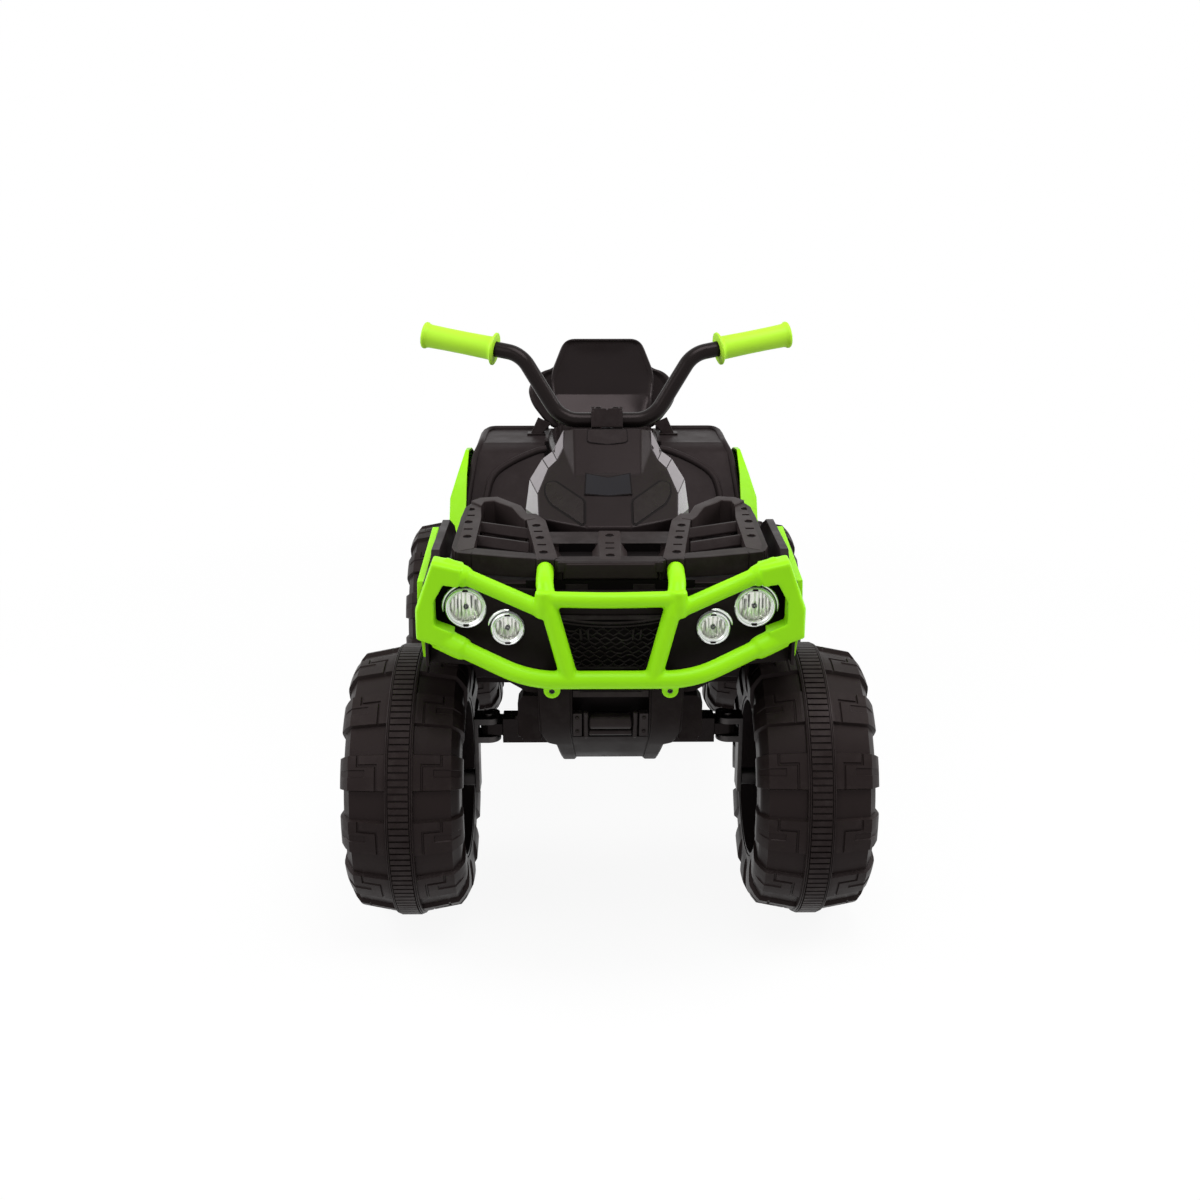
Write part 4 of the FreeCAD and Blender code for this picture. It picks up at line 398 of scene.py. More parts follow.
def grown(outline, reach):
    """A flat outline with every edge moved outwards by reach, or inwards where reach is less than none."""
    places = [Vector(point) for point in outline]
    normal = Vector((0, 0, 0))
    for i, place in enumerate(places):
        normal += place.cross(places[(i + 1) % len(places)])
    normal.normalize()
    moved = []
    for i, place in enumerate(places):
        before = (place - places[i - 1]).normalized().cross(normal)
        after = (places[(i + 1) % len(places)] - place).normalized().cross(normal)
        moved.append(place + (before + after) * (reach / max(0.2, 1.0 + before.dot(after))))
    return moved


def plate(outline, lift, depth, out):
    """A thin plate on a flat outline: its face stands lift above the outline and its foot is depth below."""
    out = Vector(out).normalized()
    places = [Vector(point) for point in outline]
    return skin([[tuple(place - out * depth) for place in places], [tuple(place + out * lift) for place in places]])


def cut_out(obj, *forms):
    """Cuts closed forms out of a piece."""
    for form in forms:
        tool = make_piece("cutting_form", *form)
        less = obj.modifiers.new("cut", "BOOLEAN")
        less.operation = "DIFFERENCE"
        less.solver = "EXACT"
        less.object = tool
        settle(obj)
        bpy.data.objects.remove(tool, do_unlink=True)
    return obj


def softened(points, radius, closed=False, steps=6):
    """A line of points with each corner drawn as an arc-like curve."""
    places = [Vector(point) for point in points]
    line = []
    last = len(places) - 1
    for i, corner in enumerate(places):
        if not closed and i in (0, last):
            line.append(corner)
            continue
        before, after = places[i - 1], places[(i + 1) % len(places)]
        reach = min(radius, (before - corner).length * 0.48, (after - corner).length * 0.48)
        start = corner + (before - corner).normalized() * reach
        end = corner + (after - corner).normalized() * reach
        for k in range(steps + 1):
            u = k / steps
            line.append(start * (1 - u) ** 2 + corner * 2 * u * (1 - u) + end * u ** 2)
    return line


def tube(points, radius, bend=0.0, sides=20):
    """A round tube along a line; radius may be a list with one for each point."""
    line = softened(points, bend) if bend else [Vector(point) for point in points]
    rows = []
    along = (line[1] - line[0]).normalized()
    side = along.orthogonal().normalized()
    for i, place in enumerate(line):
        ahead = line[min(i + 1, len(line) - 1)] - line[max(i - 1, 0)]
        turn = along.rotation_difference(ahead.normalized())
        side = turn @ side
        along = ahead.normalized()
        other = along.cross(side)
        size = radius[i] if isinstance(radius, list) else radius
        rows.append([tuple(place + (side * math.cos(a) + other * math.sin(a)) * size)
                     for a in (2 * math.pi * k / sides for k in range(sides))])
    return skin(rows)


def turned(profile, centre, axis, steps=48):
    """A closed profile of (along, radius) turned about an axis through centre."""
    axis = Vector(axis).normalized()
    side = axis.orthogonal().normalized()
    other = axis.cross(side)
    rows = []
    for k in range(steps):
        angle = 2 * math.pi * k / steps
        out = side * math.cos(angle) + other * math.sin(angle)
        rows.append([tuple(Vector(centre) + axis * along + out * radius) for along, radius in profile])
    return ring_skin(rows)


# Tyres: ribbed belt between rails, and lugs with stepped grooves

lug_count = 13
lug_turn = 2 * math.pi / lug_count
lug_share = 0.54
lug_rise, pocket_rise, groove_rise = 5.0, 3.7, 3.2
lug_lines = [-0.02, 0.02, 0.13, 0.255, 0.275, 0.325, 0.345, 0.41, 0.43, 0.52, 0.61, 0.63, 0.80, 0.98, 1.02, 1.2, 1.43,
             1.66]
tread_lines = [17.2, 20.0, 25.6, 26.4, 28.2, 29.0, 36.0, 41.0, 41.8, 48.6, 49.4, 51.2, 52.0, 58.0, 62.2]
tread_edge, tread_radius, tread_fall = 17.9, 170.0, 0.192
# across, radius, outward direction, share of the lugs' rise
shoulder_lines = [(65.4, 155.7, 0.80, 0.60, 1.0), (68.6, 149.8, 0.877, 0.48, 0.97), (71.0, 145.4, 0.92, 0.39, 0.93),
                  (71.5, 141.0, 0.97, 0.24, 0.9)]
# across, radius, share of the lugs' rise
wall_lines = [(71.5, 134.0, 0.82), (71.5, 127.0, 0.70), (71.5, 120.0, 0.52), (71.5, 115.0, 0.30), (71.5, 112.0, 0.0),
              (71.0, 106.2, 0.0)]
wall_top = 150.0
tyre_inside = [(68.4, 106.2), (68.4, 140.0), (66.0, 146.0), (59.0, 158.0), (17.0, 166.6)]
belt_ribs = 131
rib_lines = [(0.0, 177.2), (0.05, 179.4), (0.76, 179.4), (0.81, 177.2)]
belt_rail = [(12.6, 176.6), (13.2, 176.6), (13.5, 178.4), (14.6, 178.4), (14.9, 176.8), (15.5, 176.8), (15.8, 177.8),
             (16.8, 177.4), (17.4, 168.0)]


def tyre_half():
    """From the belt to the bead: place, outward direction and how far the lugs rise there."""
    tread = [(a, tread_radius - (a - tread_edge) * tread_fall, 0.188, 0.982, 1.0) for a in tread_lines]
    return tread + shoulder_lines + [(a, r, 1.0, 0.0, rise) for a, r, rise in wall_lines]


def lug_height(a, share, wall):
    """Height of the tread over the tyre's round body: lugs carry a stepped groove and a shoulder pocket."""
    if not 0.0 < share < 1.0:
        return 0.0
    grooved = ((49.3 < a < 51.3 and share < 0.33) or (0.27 < share < 0.33 and 26.3 < a < 51.3)
               or (26.3 < a < 28.3 and share > 0.27))
    if grooved and not wall:
        return groove_rise
    if a > 41.7 and 0.42 < share < 0.62 and not wall:
        return pocket_rise
    return lug_rise


def wheel_row(loop, angle):
    """A loop of (across, radius) at its place round the wheel."""
    return [(a, -r * math.sin(angle), r * math.cos(angle)) for a, r in loop]


def tyre_form():
    half = tyre_half()
    rows = []
    for lug in range(lug_count):
        for share in lug_lines:
            loop = []
            for side, part in ((-1, half[::-1]), (1, half)):
                for a, r, out_a, out_r, rise in part:
                    height = lug_height(a, share, r < wall_top) * rise
                    loop.append((side * (a + out_a * height), r + out_r * height))
            loop += tyre_inside + [(-a, r) for a, r in tyre_inside[::-1]]
            rows.append(wheel_row(loop, (lug + share * lug_share) * lug_turn))
    return ring_skin(rows)


def belt_form():
    rows = []
    for rib in range(belt_ribs):
        for share, top in rib_lines:
            half = [(12.2, top)] + belt_rail
            loop = [(-a, r) for a, r in half[::-1]] + half
            rows.append(wheel_row(loop, 2 * math.pi * (rib + share) / belt_ribs))
    return ring_skin(rows)


def make_tyres():
    form = joined(tyre_form(), belt_form())
    for end, y in (("front", -wheel_y), ("rear", wheel_y)):
        for side, sign in (("left", 1), ("right", -1)):
            points, faces = form if sign > 0 else mirrored(form)
            points = [(x + sign * wheel_x, py + y, z + wheel_z) for x, py, z in points]
            wheel = end + "_" + side
            piece("tread_" + wheel, (points, faces), tyre_black, "tyre_" + wheel, body="wheel_" + wheel, crease=30.0)


make_tyres()

# Bumper: tubes run into faceted corner brackets through collars, with soft joints

bracket_outline = [(189, 416), (229, 430.6), (229, 467.5), (207, 527), (172, 518.5), (175.5, 496.5), (193.7, 501),
                   (207.3, 480), (207.3, 447.4), (184.5, 438.4)]


def bracket_form():
    """A corner bracket with chamfered front edges."""
    middle = (203.0, 472.0)
    rows = []
    for y, inset in ((-452.4, 0.0), (-477.0, 0.0), (-484.0, 3.2)):
        row = []
        for x, z in bracket_outline:
            reach = Vector((middle[0] - x, middle[1] - z))
            shift = reach.normalized() * inset
            row.append((x + shift.x, y, z + shift.y))
        rows.append(row)
    return skin(rows)


def make_bumper():
    low = tube([(203, -467, 429), (95, -513.6, 393), (-95, -513.6, 393), (-203, -467, 429)], 10.8, 34.0)
    cross = tube([(77, -502, 488), (0, -508, 488), (-77, -502, 488)], 9.4, 60.0)
    upright = tube([(48, -513.6, 393), (77, -502, 499), (77, -443, 506.5)], 10.4, 30.0)
    side = tube([(190, -461, 512), (77, -502, 474)], 9.9)
    top_collar = tube([(196, -460, 513.5), (178, -466.2, 507.6), (168, -469.8, 504.2), (166, -470.6, 503.6)],
                      [13.4, 13.4, 12.6, 10.0])
    low_collar = tube([(205, -466, 429.8), (180, -477, 421.3), (172, -480.6, 418.6), (169, -482, 417.6)],
                      [14.0, 14.0, 13.2, 10.6])
    saddle = tube([(77, -502, 466), (77, -502, 482), (77, -502, 498)], [10.4, 11.6, 10.4])
    eye_x, eye_z = 69, 378.6
    eye = turned([(-4.5, 3.4), (4.5, 3.4), (4.5, 9.4), (3.4, 10.0), (-3.4, 10.0), (-4.5, 9.4)],
                 (eye_x, -507.8, eye_z), (0, 1, 0), 40)
    neck = facing([(60, 391), (78, 391), (78.6, 380), (59.4, 380)], -511.6, 7.6)
    paired = (upright, side, top_collar, low_collar, bracket_form(), saddle, eye, neck)
    bumper = make_piece("bumper_tubes", *joined(low, cross, *[pair(form) for form in paired]))
    remesh = bumper.modifiers.new("one moulding", "REMESH")
    remesh.mode = "VOXEL"
    remesh.voxel_size = 1.7 * MM
    remesh.use_smooth_shade = True
    smooth = bumper.modifiers.new("soft joints", "SMOOTH")
    smooth.factor = 0.5
    smooth.iterations = 5
    dress(settle(bumper), lime, "chassis", "front_bumper", crease=60.0)
    screw = turned([(-3.2, 0.6), (-2.4, 2.0), (-3.4, 2.6), (-2.8, 4.6), (-0.8, 5.2), (6.0, 5.2), (6.0, 0.6)],
                   (eye_x, -508.4, eye_z), (0, 1, 0), 32)
    piece("eye_screws", pair(screw), dull_steel, "bumper_screws", crease=30.0)


make_bumper()

# Headlights: stepped bright rings, fluted covers, bright bowls

lamp_places = [(172.0, -446.0, 461.0, 25.2), (122.0, -459.0, 439.0, 20.4)]
ring_steps = [(7.5, 0.0), (-5.2, 0.0), (-7.2, 0.8), (-7.9, 2.0), (-7.4, 3.1), (-5.6, 3.6), (-5.2, 4.4), (-5.9, 5.0),
              (-5.4, 5.9), (-3.0, 6.2), (-3.0, 3.4), (7.5, 2.7)]
cover_flute, cover_pitch = 0.45, 3.6
disc_flute, disc_pitch = 0.7, 4.3
prism_lines = [(-0.62, -0.45, 0.55), (-0.36, -0.15, 0.78), (0.34, -0.70, 0.50), (0.58, -0.25, 0.62)]
brow_starts, brow_turn, brow_steps = (-12.0, 8.0), 88.0, 16


def ring_form(x, y, z, radius):
    return turned([(-along, radius - inset) for along, inset in ring_steps], (x, y, z), (0, -1, 0), 64)


def cover_form(x, y, z, radius):
    """A clear cover, domed a little, with upright flutes on its inside."""
    size, rings, steps = radius - 6.0, 12, 64
    rows = []
    for front in (True, False):
        for i in range(rings + 1):
            r = size * ((i + 0.02) if front else (rings - i + 0.02)) / (rings + 0.02)
            crown = 1.6 * (1 - (r / size) ** 2)
            row = []
            for k in range(steps):
                angle = 2 * math.pi * k / steps
                px, pz = r * math.cos(angle), r * math.sin(angle)
                flute = cover_flute * math.cos(px * 2 * math.pi / cover_pitch)
                row.append((x + px, y + (-5.2 - crown if front else -3.4 - crown * 0.6 + flute), z + pz))
            rows.append(row)
    return skin(rows)


def bowl_form(x, y, z, radius):
    """A faceted bright bowl behind the cover."""
    steps = 36
    profile = [(-2.6, radius - 3.0), (2.0, radius - 4.4), (8.0, radius - 8.0), (13.0, radius * 0.44), (16.0, 5.2),
               (17.6, 5.2), (14.6, radius * 0.44 + 1.2), (9.0, radius - 6.6), (2.0, radius - 2.9)]
    rows = []
    for k in range(steps):
        angle = 2 * math.pi * k / steps
        flute = 1.0 - 0.035 * (k % 2)
        rows.append([(x + r * flute * math.cos(angle), y + along, z + r * flute * math.sin(angle))
                     for along, r in profile])
    return ring_skin(rows)


def flute_form(x, y, z, radius):
    """The pale ribbed disc that shows through a cover: upright flutes about a middle boss."""
    size = radius - 6.4
    columns, rows_up = 56, 15
    front = []
    for i in range(columns + 1):
        px = size * (2 * i / columns - 1) * 0.999
        reach = math.sqrt(max(0.0, size * size - px * px))
        flute = disc_flute * abs(math.sin(px * math.pi / disc_pitch))
        line = []
        for j in range(rows_up):
            pz = reach * (2 * j / (rows_up - 1) - 1)
            away = math.hypot(px, pz)
            boss = 2.6 * max(0.0, 1 - away / 4.2)
            line.append((x + px, y + 0.6 + flute - boss + 2.2 * (away / size) ** 2, z + pz))
        front.append(line)
    back = [[(px, y + 5.4, pz) for px, _, pz in line] for line in front]
    return joined(skin(front, False, False), skin(back, False, False))


def lamp_clip(x, y, z, radius, up):
    low, high = z + up * radius * 0.80, z + up * radius * 0.91
    return facing([(x - 3.6, low), (x + 3.6, low), (x + 3.0, high), (x - 3.0, high)], y - 8.4, 3.0)


def lamp_brow(x, y, z, radius, start):
    """A bright arc round part of a lamp, thinned out to both ends."""
    arc, sizes = [], []
    for k in range(brow_steps + 1):
        angle = math.radians(start + brow_turn * k / brow_steps)
        arc.append((x + (radius + 2.4) * math.cos(angle), y - 3.4, z + (radius + 2.4) * math.sin(angle)))
        sizes.append(0.4 + 1.5 * math.sin(math.pi * k / brow_steps) ** 0.5)
    return tube(arc, sizes, sides=12)


def all_lamps(form):
    return joined(*[pair(form(*lamp)) for lamp in lamp_places])


def make_lamps():
    piece("lamp_rings", all_lamps(ring_form), chrome, "headlight_bezels", crease=26.0)
    piece("lamp_covers", all_lamps(cover_form), clear_cover, "headlight_lenses", crease=50.0)
    piece("lamp_bowls", all_lamps(bowl_form), mirror, "headlight_reflectors", crease=12.0)
    piece("lamp_flutes", all_lamps(flute_form), lamp_silver, crease=40.0)
    boss = [(-1.5, 1.1), (-2.2, 1.6), (-2.2, 2.7), (-1.4, 3.2), (1.6, 3.2), (1.6, 1.1)]
    clips, marks, brows = [], [], []
    for (x, y, z, radius), start in zip(lamp_places, brow_starts):
        clips += [lamp_clip(x, y, z, radius, up) for up in (1, -1)]
        marks.append(turned(boss, (x, y, z), (0, 1, 0), 24))
        for share, low, high in prism_lines:
            across, tall = x + share * (radius - 7.0), (radius - 7.0) * math.sqrt(1 - share * share)
            marks.append(slab(across - 0.32, across + 0.32, y + 0.3, z + low * tall, z + high * tall, 1.2))
        brows.append(lamp_brow(x, y, z, radius, start))
    piece("lamp_prism_lines", pair(joined(*marks)), case_grey)
    piece("lamp_brows", pair(joined(*brows)), chrome, crease=60.0)
    piece("lamp_clips", pair(joined(*clips)), satin_black, edge=0.7)
    moulded("headlight_bulbs", frosted, 0.3)


make_lamps()

# Bonnet: a faceted hood with inset panels, a smoked window and glossy edge facets whose pale colour is a painted
# reflection

hood_corners = {
    "foot_0": (0, -336, deck_top), "brow_0": (0, -333, 528), "glass_0": (0, -279, 556), "head_0": (0, -240, 574.5),
    "crown_0": (0, -173, 622), "foot_1": (28, -336, deck_top), "brow_1": (28, -333, 528),
    "glass_1": (29.5, -276.3, 556), "head_1": (28, -240, 574.5), "column": (43.6, -236, 572.2),
    "crown_1": (45, -173, 622), "crown_2": (58.5, -166, 619),
    "foot_2": (104, -262, deck_top), "brow_2": (90.1, -282.4, 526.07), "cheek": (92.5, -238, 547.47),
    "valley": (68.1, -217.7, 568.57), "peak": (79.1, -199.2, 573.05), "neck_1": (59.4, -178, 597.2),
    "neck_2": (67.3, -195, 583.3), "wing_1": (74.2, -158, 587.7), "wing_2": (88.1, -162, 578),
    "wing_3": (105.1, -176, 552.7), "side_1": (110.5, -190, 514), "side_0": (112, -196, deck_top),
    "hip_0": (95, -57, deck_top), "hip_1": (92, -64, 527), "hip_2": (81, -80, 546), "hip_3": (67, -107, 575),
    "hip_4": (59, -115, 582), "tail_0": (69, 52, deck_top), "tail_1": (64, 33, 527), "tail_2": (58, -14, 546),
    "tail_3": (56, -72, 575), "tail_4": (53, -109, 578), "back_0": (0, 52, deck_top), "back_1": (0, 33, 527),
    "back_2": (0, -14, 546), "back_3": (0, -72, 575), "back_4": (0, -109, 578),
}
hood_facets = [
    "foot_0 foot_1 brow_1 brow_0", "brow_0 brow_1 glass_1 glass_0", "glass_0 glass_1 head_1 head_0",
    "head_0 head_1 column crown_1 crown_0", "foot_1 foot_2 brow_2 brow_1", "brow_1 brow_2 cheek peak valley glass_1",
    "glass_1 valley column head_1", "column valley peak neck_2", "column neck_2 neck_1",
    "column neck_1 crown_2 crown_1",
    "foot_2 side_0 side_1 brow_2", "brow_2 side_1 wing_3 cheek", "cheek wing_3 wing_2 peak",
    "peak wing_2 wing_1 neck_2", "neck_2 wing_1 crown_2 neck_1", "side_0 hip_0 hip_1 side_1",
    "side_1 hip_1 hip_2 wing_3", "wing_3 hip_2 hip_3 wing_2", "wing_2 hip_3 wing_1", "wing_1 hip_3 hip_4 crown_2",
    "hip_0 tail_0 tail_1 hip_1", "hip_1 tail_1 tail_2 hip_2", "hip_2 tail_2 tail_3 hip_3",
    "hip_3 tail_3 tail_4 hip_4", "tail_0 back_0 back_1 tail_1", "tail_1 back_1 back_2 tail_2",
    "tail_2 back_2 back_3 tail_3", "tail_3 back_3 back_4 tail_4", "crown_0 crown_1 crown_2 hip_4 tail_4 back_4",
]
hood_panel = [(31.5, -287.1), (70.4, -228.8), (81.2, -226), (81.6, -243.9), (73.9, -266.2), (31.5, -328.2)]
hood_glass = [(-28, -240.2, 574.6), (0, -247.8, 570.9), (28, -240.2, 574.6), (29.6, -276.6, 557.1), (0, -280.4, 555.3),
              (-29.6, -276.6, 557.1)]
hood_flap = [(-25.6, -175.0, 620.6), (-26.6, -191.2, 609.1), (-23.5, -193.5, 607.5), (0, -196.8, 605.2),
             (23.5, -193.5, 607.5), (26.6, -191.2, 609.1), (25.6, -175.0, 620.6)]


def hood_form():
    names = list(hood_corners)
    points = [hood_corners[name] for name in names]
    faces = [tuple(names.index(name) for name in facet.split()) for facet in hood_facets]
    return pair((points, faces))


hood_strips = {"cheek wing_3 wing_2 peak": (0.62, -0.45, 0.64), "peak wing_2 wing_1 neck_2": (0.55, -0.62, 0.56),
               "neck_2 wing_1 crown_2 neck_1": (0.80, -0.50, 0.34), "brow_2 side_1 wing_3 cheek": (0.92, -0.30, 0.25)}
panel_out, flap_out, glass_out = (0.368, -0.42, 0.83), (0, -0.58, 0.81), (0, -0.43, 0.9)
panel_height = 588.4
hood_wall = 3.2


def strip_form(facet, out):
    """A glossy facet down the side of the hood, drawn in from its edges; its pale grey colour is a painted reflection.
    """
    return plate(grown([hood_corners[name] for name in facet.split()], -0.7), 0.4, 1.4, out)


def dash_opening():
    """The room for the dash in the hood's back, square to its slope."""
    slope = math.atan2(105.0, 48.0)
    along = Vector((0, math.sin(slope), -math.cos(slope)))
    out = Vector((0, math.cos(slope), math.sin(slope)))
    middle = Vector((0, -21.6, 551.96)) - out * 14
    return prism([tuple(middle + Vector((x * 39.9, 0, 0)) + along * (y * 36.9)) for x, y in square], out * 28)


def make_bonnet():
    hood = rounded(make_piece("hood_shell", *hood_form()), 2.4, 3, 7.0)
    wall = hood.modifiers.new("wall", "SOLIDIFY")
    wall.thickness = hood_wall * MM
    wall.offset = -1.0
    settle(hood)
    cut_out(hood, tube([column_foot, column_top], 14.6, sides=40), dash_opening())
    dress(hood, satin_black, "chassis", "bonnet", crease=24.0)
    out_x, out_y, out_z = panel_out
    panel = softened([(x, y, (panel_height - out_x * x - out_y * y) / out_z) for x, y in hood_panel], 6.5, True, 6)
    piece("hood_panels", pair(plate(panel, 1.15, 1.0, panel_out)), hood_panel_black, "bonnet_panels", edge=0.5)
    seams = joined(pair(plate(grown(panel, 2.9), 0.25, 0.8, panel_out)),
                   plate(grown(hood_flap, 1.1), 0.2, 0.8, flap_out),
                   plate(grown(hood_glass, 1.7), 0.25, 0.8, glass_out))
    piece("hood_seams", seams, seam_and_shade_black)
    piece("hood_flap", plate(hood_flap, 0.55, 0.8, flap_out), satin_black, edge=0.3)
    piece("hood_window", plate(hood_glass, 0.7, 0.8, glass_out), smoked, "bonnet_window", edge=0.35)
    strips = joined(*[strip_form(facet, out) for facet, out in hood_strips.items()])
    piece("hood_edge_facets", pair(strips), strip_grey_painted_reflection, edge=0.3)


make_bonnet()

# Backrest: a rimmed, dished pad in front of a wider shell with side lobes

back_lean, back_foot = math.radians(12.0), 372.0
pad_crease, pad_swell = 73.0, 12.0
lobe_reach, lobe_middle = 70.0, 85.0
pad_outline = [(-66, 168), (66, 168), (91, 106), (88, 72), (84, 30), (74, 3), (-74, 3), (-84, 30), (-88, 72),
               (-91, 106)]
lobe_outline = [(-57, 164), (57, 164), (84, 119), (110, 112), (131.5, 84), (125, 57), (102, 27), (84, 12), (-84, 12),
                (-102, 27), (-125, 57), (-131.5, 84), (-110, 112), (-84, 119)]
pad_rim = [(0.0, 3.4), (0.5, 1.4), (1.4, 0.3), (2.4, 0.0), (3.3, 0.5), (4.2, 1.9), (5.6, 2.9), (8.0, 3.3), (16.0, 4.6),
           (28.0, 6.4), (42.0, 7.8), (60.0, 8.6), (120.0, 8.8)]
pad_heights = [167.99, 167.6, 166.8, 165.6, 164.4, 163.2, 161.8, 159.5, 156, 150, 142, 132, 121, 112, 106, 99, 92, 86,
               81, 77, 74.5, 73, 71.5, 69, 65, 58, 50, 42, 34, 27, 21, 16, 12, 9.4, 7.6, 6.2, 5.0, 4.0, 3.3, 3.01]
lobe_levels = [(9, 37.4), (3.5, 36.6), (0.8, 34.0), (0, 31.0), (0, 17.5), (0.8, 14.5), (3.0, 12.6), (5.5, 12.6),
               (8.0, 14.6), (12.0, 15.4), (40.0, 15.6), (62.0, 15.6)]


def leaned(x, depth, height):
    """From the backrest's own frame (depth behind its front, height up its slope) to the toy's."""
    return (x, back_foot + depth * math.cos(back_lean) + height * math.sin(back_lean),
            rear_deck + height * math.cos(back_lean) - depth * math.sin(back_lean))


def stepped(table, value):
    """The height that a table of (place, height) gives at a place."""
    for (low, start), (high, end) in zip(table, table[1:]):
        if value <= high:
            return start + (end - start) * (value - low) / (high - low)
    return table[-1][1]


def edge_distance(line, x, h):
    """How far a point lies from a closed line."""
    best = 1e9
    spot = Vector((x, h))
    for i, start in enumerate(line):
        run = line[(i + 1) % len(line)] - start
        share = max(0.0, min(1.0, (spot - start).dot(run) / max(run.length_squared, 1e-9)))
        best = min(best, (spot - start - run * share).length)
    return best


def half_width(line, h):
    """Where a closed line crosses a height, on its right."""
    reach = 0.0
    for i, start in enumerate(line):
        end = line[(i + 1) % len(line)]
        if min(start.y, end.y) <= h <= max(start.y, end.y) and start.y != end.y:
            reach = max(reach, start.x + (end.x - start.x) * (h - start.y) / (end.y - start.y))
    return reach


def pad_form():
    """The rimmed pad: dished above a crease, swelling forward below it."""
    line = [place.xy for place in softened([(x, h, 0) for x, h in pad_outline], 18.0, True, 8)]
    shares = [-1, -0.994, -0.985, -0.975, -0.965, -0.955, -0.94, -0.91, -0.86, -0.78, -0.66, -0.5, -0.32, -0.15, 0]
    shares += [-share for share in shares[-2::-1]]
    rows = []
    for h in pad_heights:
        wide = half_width(line, h)
        row = []
        for share in shares:
            away = edge_distance(line, wide * share, h)
            depth = stepped(pad_rim, away)
            if h < pad_crease:
                depth -= pad_swell * min(1.0, (pad_crease - h) / 40.0) * min(1.0, away / 9.0)
            row.append(leaned(wide * share, depth, h))
        rows.append(row)
    face = skin(rows, False, False)
    rim = rows[0] + [row[-1] for row in rows[1:]] + rows[-1][-2::-1] + [row[0] for row in rows[-2:0:-1]]
    shift = Vector(leaned(0, 22, 0)) - Vector(leaned(0, 0, 0))
    behind = [tuple(Vector(point) + shift) for point in rim]
    wall_points, wall_faces = skin([rim, behind], True, False)
    wall_faces.append(tuple(range(len(rim), 2 * len(rim))))
    return joined(face, (wall_points, wall_faces))


def lobe_form():
    """The wider shell behind the pad, with rolled edges."""
    line = softened([(x, h, 0) for x, h in lobe_outline], 15.0, True, 8)
    rows = []
    for inset, depth in lobe_levels:
        keep = 1 - inset / lobe_reach
        rows.append([leaned(place.x * keep, depth, lobe_middle + (place.y - lobe_middle) * keep) for place in line])
    return skin(rows)


def make_backrest():
    piece("back_pad", pad_form(), back_black, "backrest", crease=50.0)
    piece("back_shell", lobe_form(), back_black, crease=50.0)
    struts = [sideways([(454, rear_deck), (466, rear_deck), (424, 574), (410, 570)], x, 7.5) for x in (76.0, 84.5)]
    web = sideways([(450, rear_deck), (461, rear_deck), (420, 566), (408, 560)], 82, 4)
    legs = prism([leaned(x, 9, h) for x, h in ((90, 22), (113, 33), (127, 2.2), (108, 2.2))],
                 Vector(leaned(0, 24, 0)) - Vector(leaned(0, 9, 0)))
    foot = prism([(100, 378, 502.2), (132, 378, 502.2), (132, 400, 502.2), (100, 400, 502.2)], (0, 0, 3.4))
    piece("back_struts", pair(joined(*struts, web, legs, foot)), satin_black, edge=1.0)


make_backrest()

# Seat: a smooth saddle that narrows to the front, with a moulded edge line

seat_half, seat_rise, seat_steps = 96.0, 38.0, 32
seat_rows = [(60.0, 0.50, 0.10), (61.5, 0.56, 0.34), (66.0, 0.60, 0.56), (76.0, 0.66, 0.74), (92.0, 0.73, 0.84),
             (120.0, 0.80, 0.86), (160.0, 0.86, 0.82), (205.0, 0.91, 0.80), (250.0, 0.96, 0.83), (290.0, 0.99, 0.88),
             (322.0, 1.0, 0.94), (340.0, 0.99, 0.98), (349.0, 0.975, 0.96), (352.0, 0.95, 0.90)]


def seat_form():
    rows = []
    for y, wide, high in seat_rows:
        row = []
        for k in range(seat_steps + 1):
            angle = math.pi * k / seat_steps
            cosine, sine = math.cos(angle), math.sin(angle)
            x = math.copysign(abs(cosine) ** 0.62, cosine) * wide * seat_half
            z = abs(sine) ** 0.55 * high * seat_rise - 3.2 * sine ** 4 * high
            if sine < 0.30:
                x *= 0.955 + 0.15 * sine
            row.append((x, y, deck_top + z))
        rows.append(row)
    return skin(rows)


piece("saddle", seat_form(), gloss_black, "seat", crease=44.0)

# Front carrier: rails with holes and slots, raised hoops, sloped slats, wells and a broken skirt

rack_front_y, rack_front_z, rack_length, rack_climb = -455.0, 518.0, 231.0, 21.0
rail_slots = {"outer": [(177.0, -292.0), (176.0, -342.0)], "inner": [(88.4, -351.0), (82.4, -397.0)],
              "middle": [(0.0, -391.0), (0.0, -408.0)]}
rail_holes = {"outer": [(178.2, -268.8), (177.6, -316.1), (175.0, -367.8)],
              "inner": [(91.3, -329.8), (85.4, -372.6), (79.6, -421.3)], "middle": [(0.0, -364.5), (0.0, -431.6)]}
outer_rail = [(164, -408), (186, -419), (191, -404), (188.5, -300), (186, -262), (178, -243), (167, -242),
              (162.5, -300)]
inner_rail = [(62, -441), (87, -446), (92, -402), (99, -350), (106, -298), (104, -286), (93, -286), (80, -312),
              (72, -370)]
middle_rib = [(-12.4, 0.0), (12.4, 0.0), (21.5, -13.0), (-21.5, -13.0)]
hoop_outline = [(180, -243), (169, -230), (146, -226), (113, -262), (100, -300), (92, -306), (106, -312), (113, -300),
                (125, -270), (149, -243), (162, -246), (165, -262)]
skirt_line = [(57.4, -455), (66, -448), (88, -443.5), (118, -439), (166, -427.5), (183, -423), (191, -404), (189, -330),
              (186, -262), (178, -243)]
skirt_lengths = [(0, 1), (1, 2), (2, 3, 4), (4, 5, 6, 7, 8, 9)]
skirt_break, skirt_sheet = 0.35, 6.5


def carrier_top(y):
    """Height of the carrier's slope, from its front edge to its back."""
    return rack_front_z + rack_climb * (y - rack_front_y) / rack_length


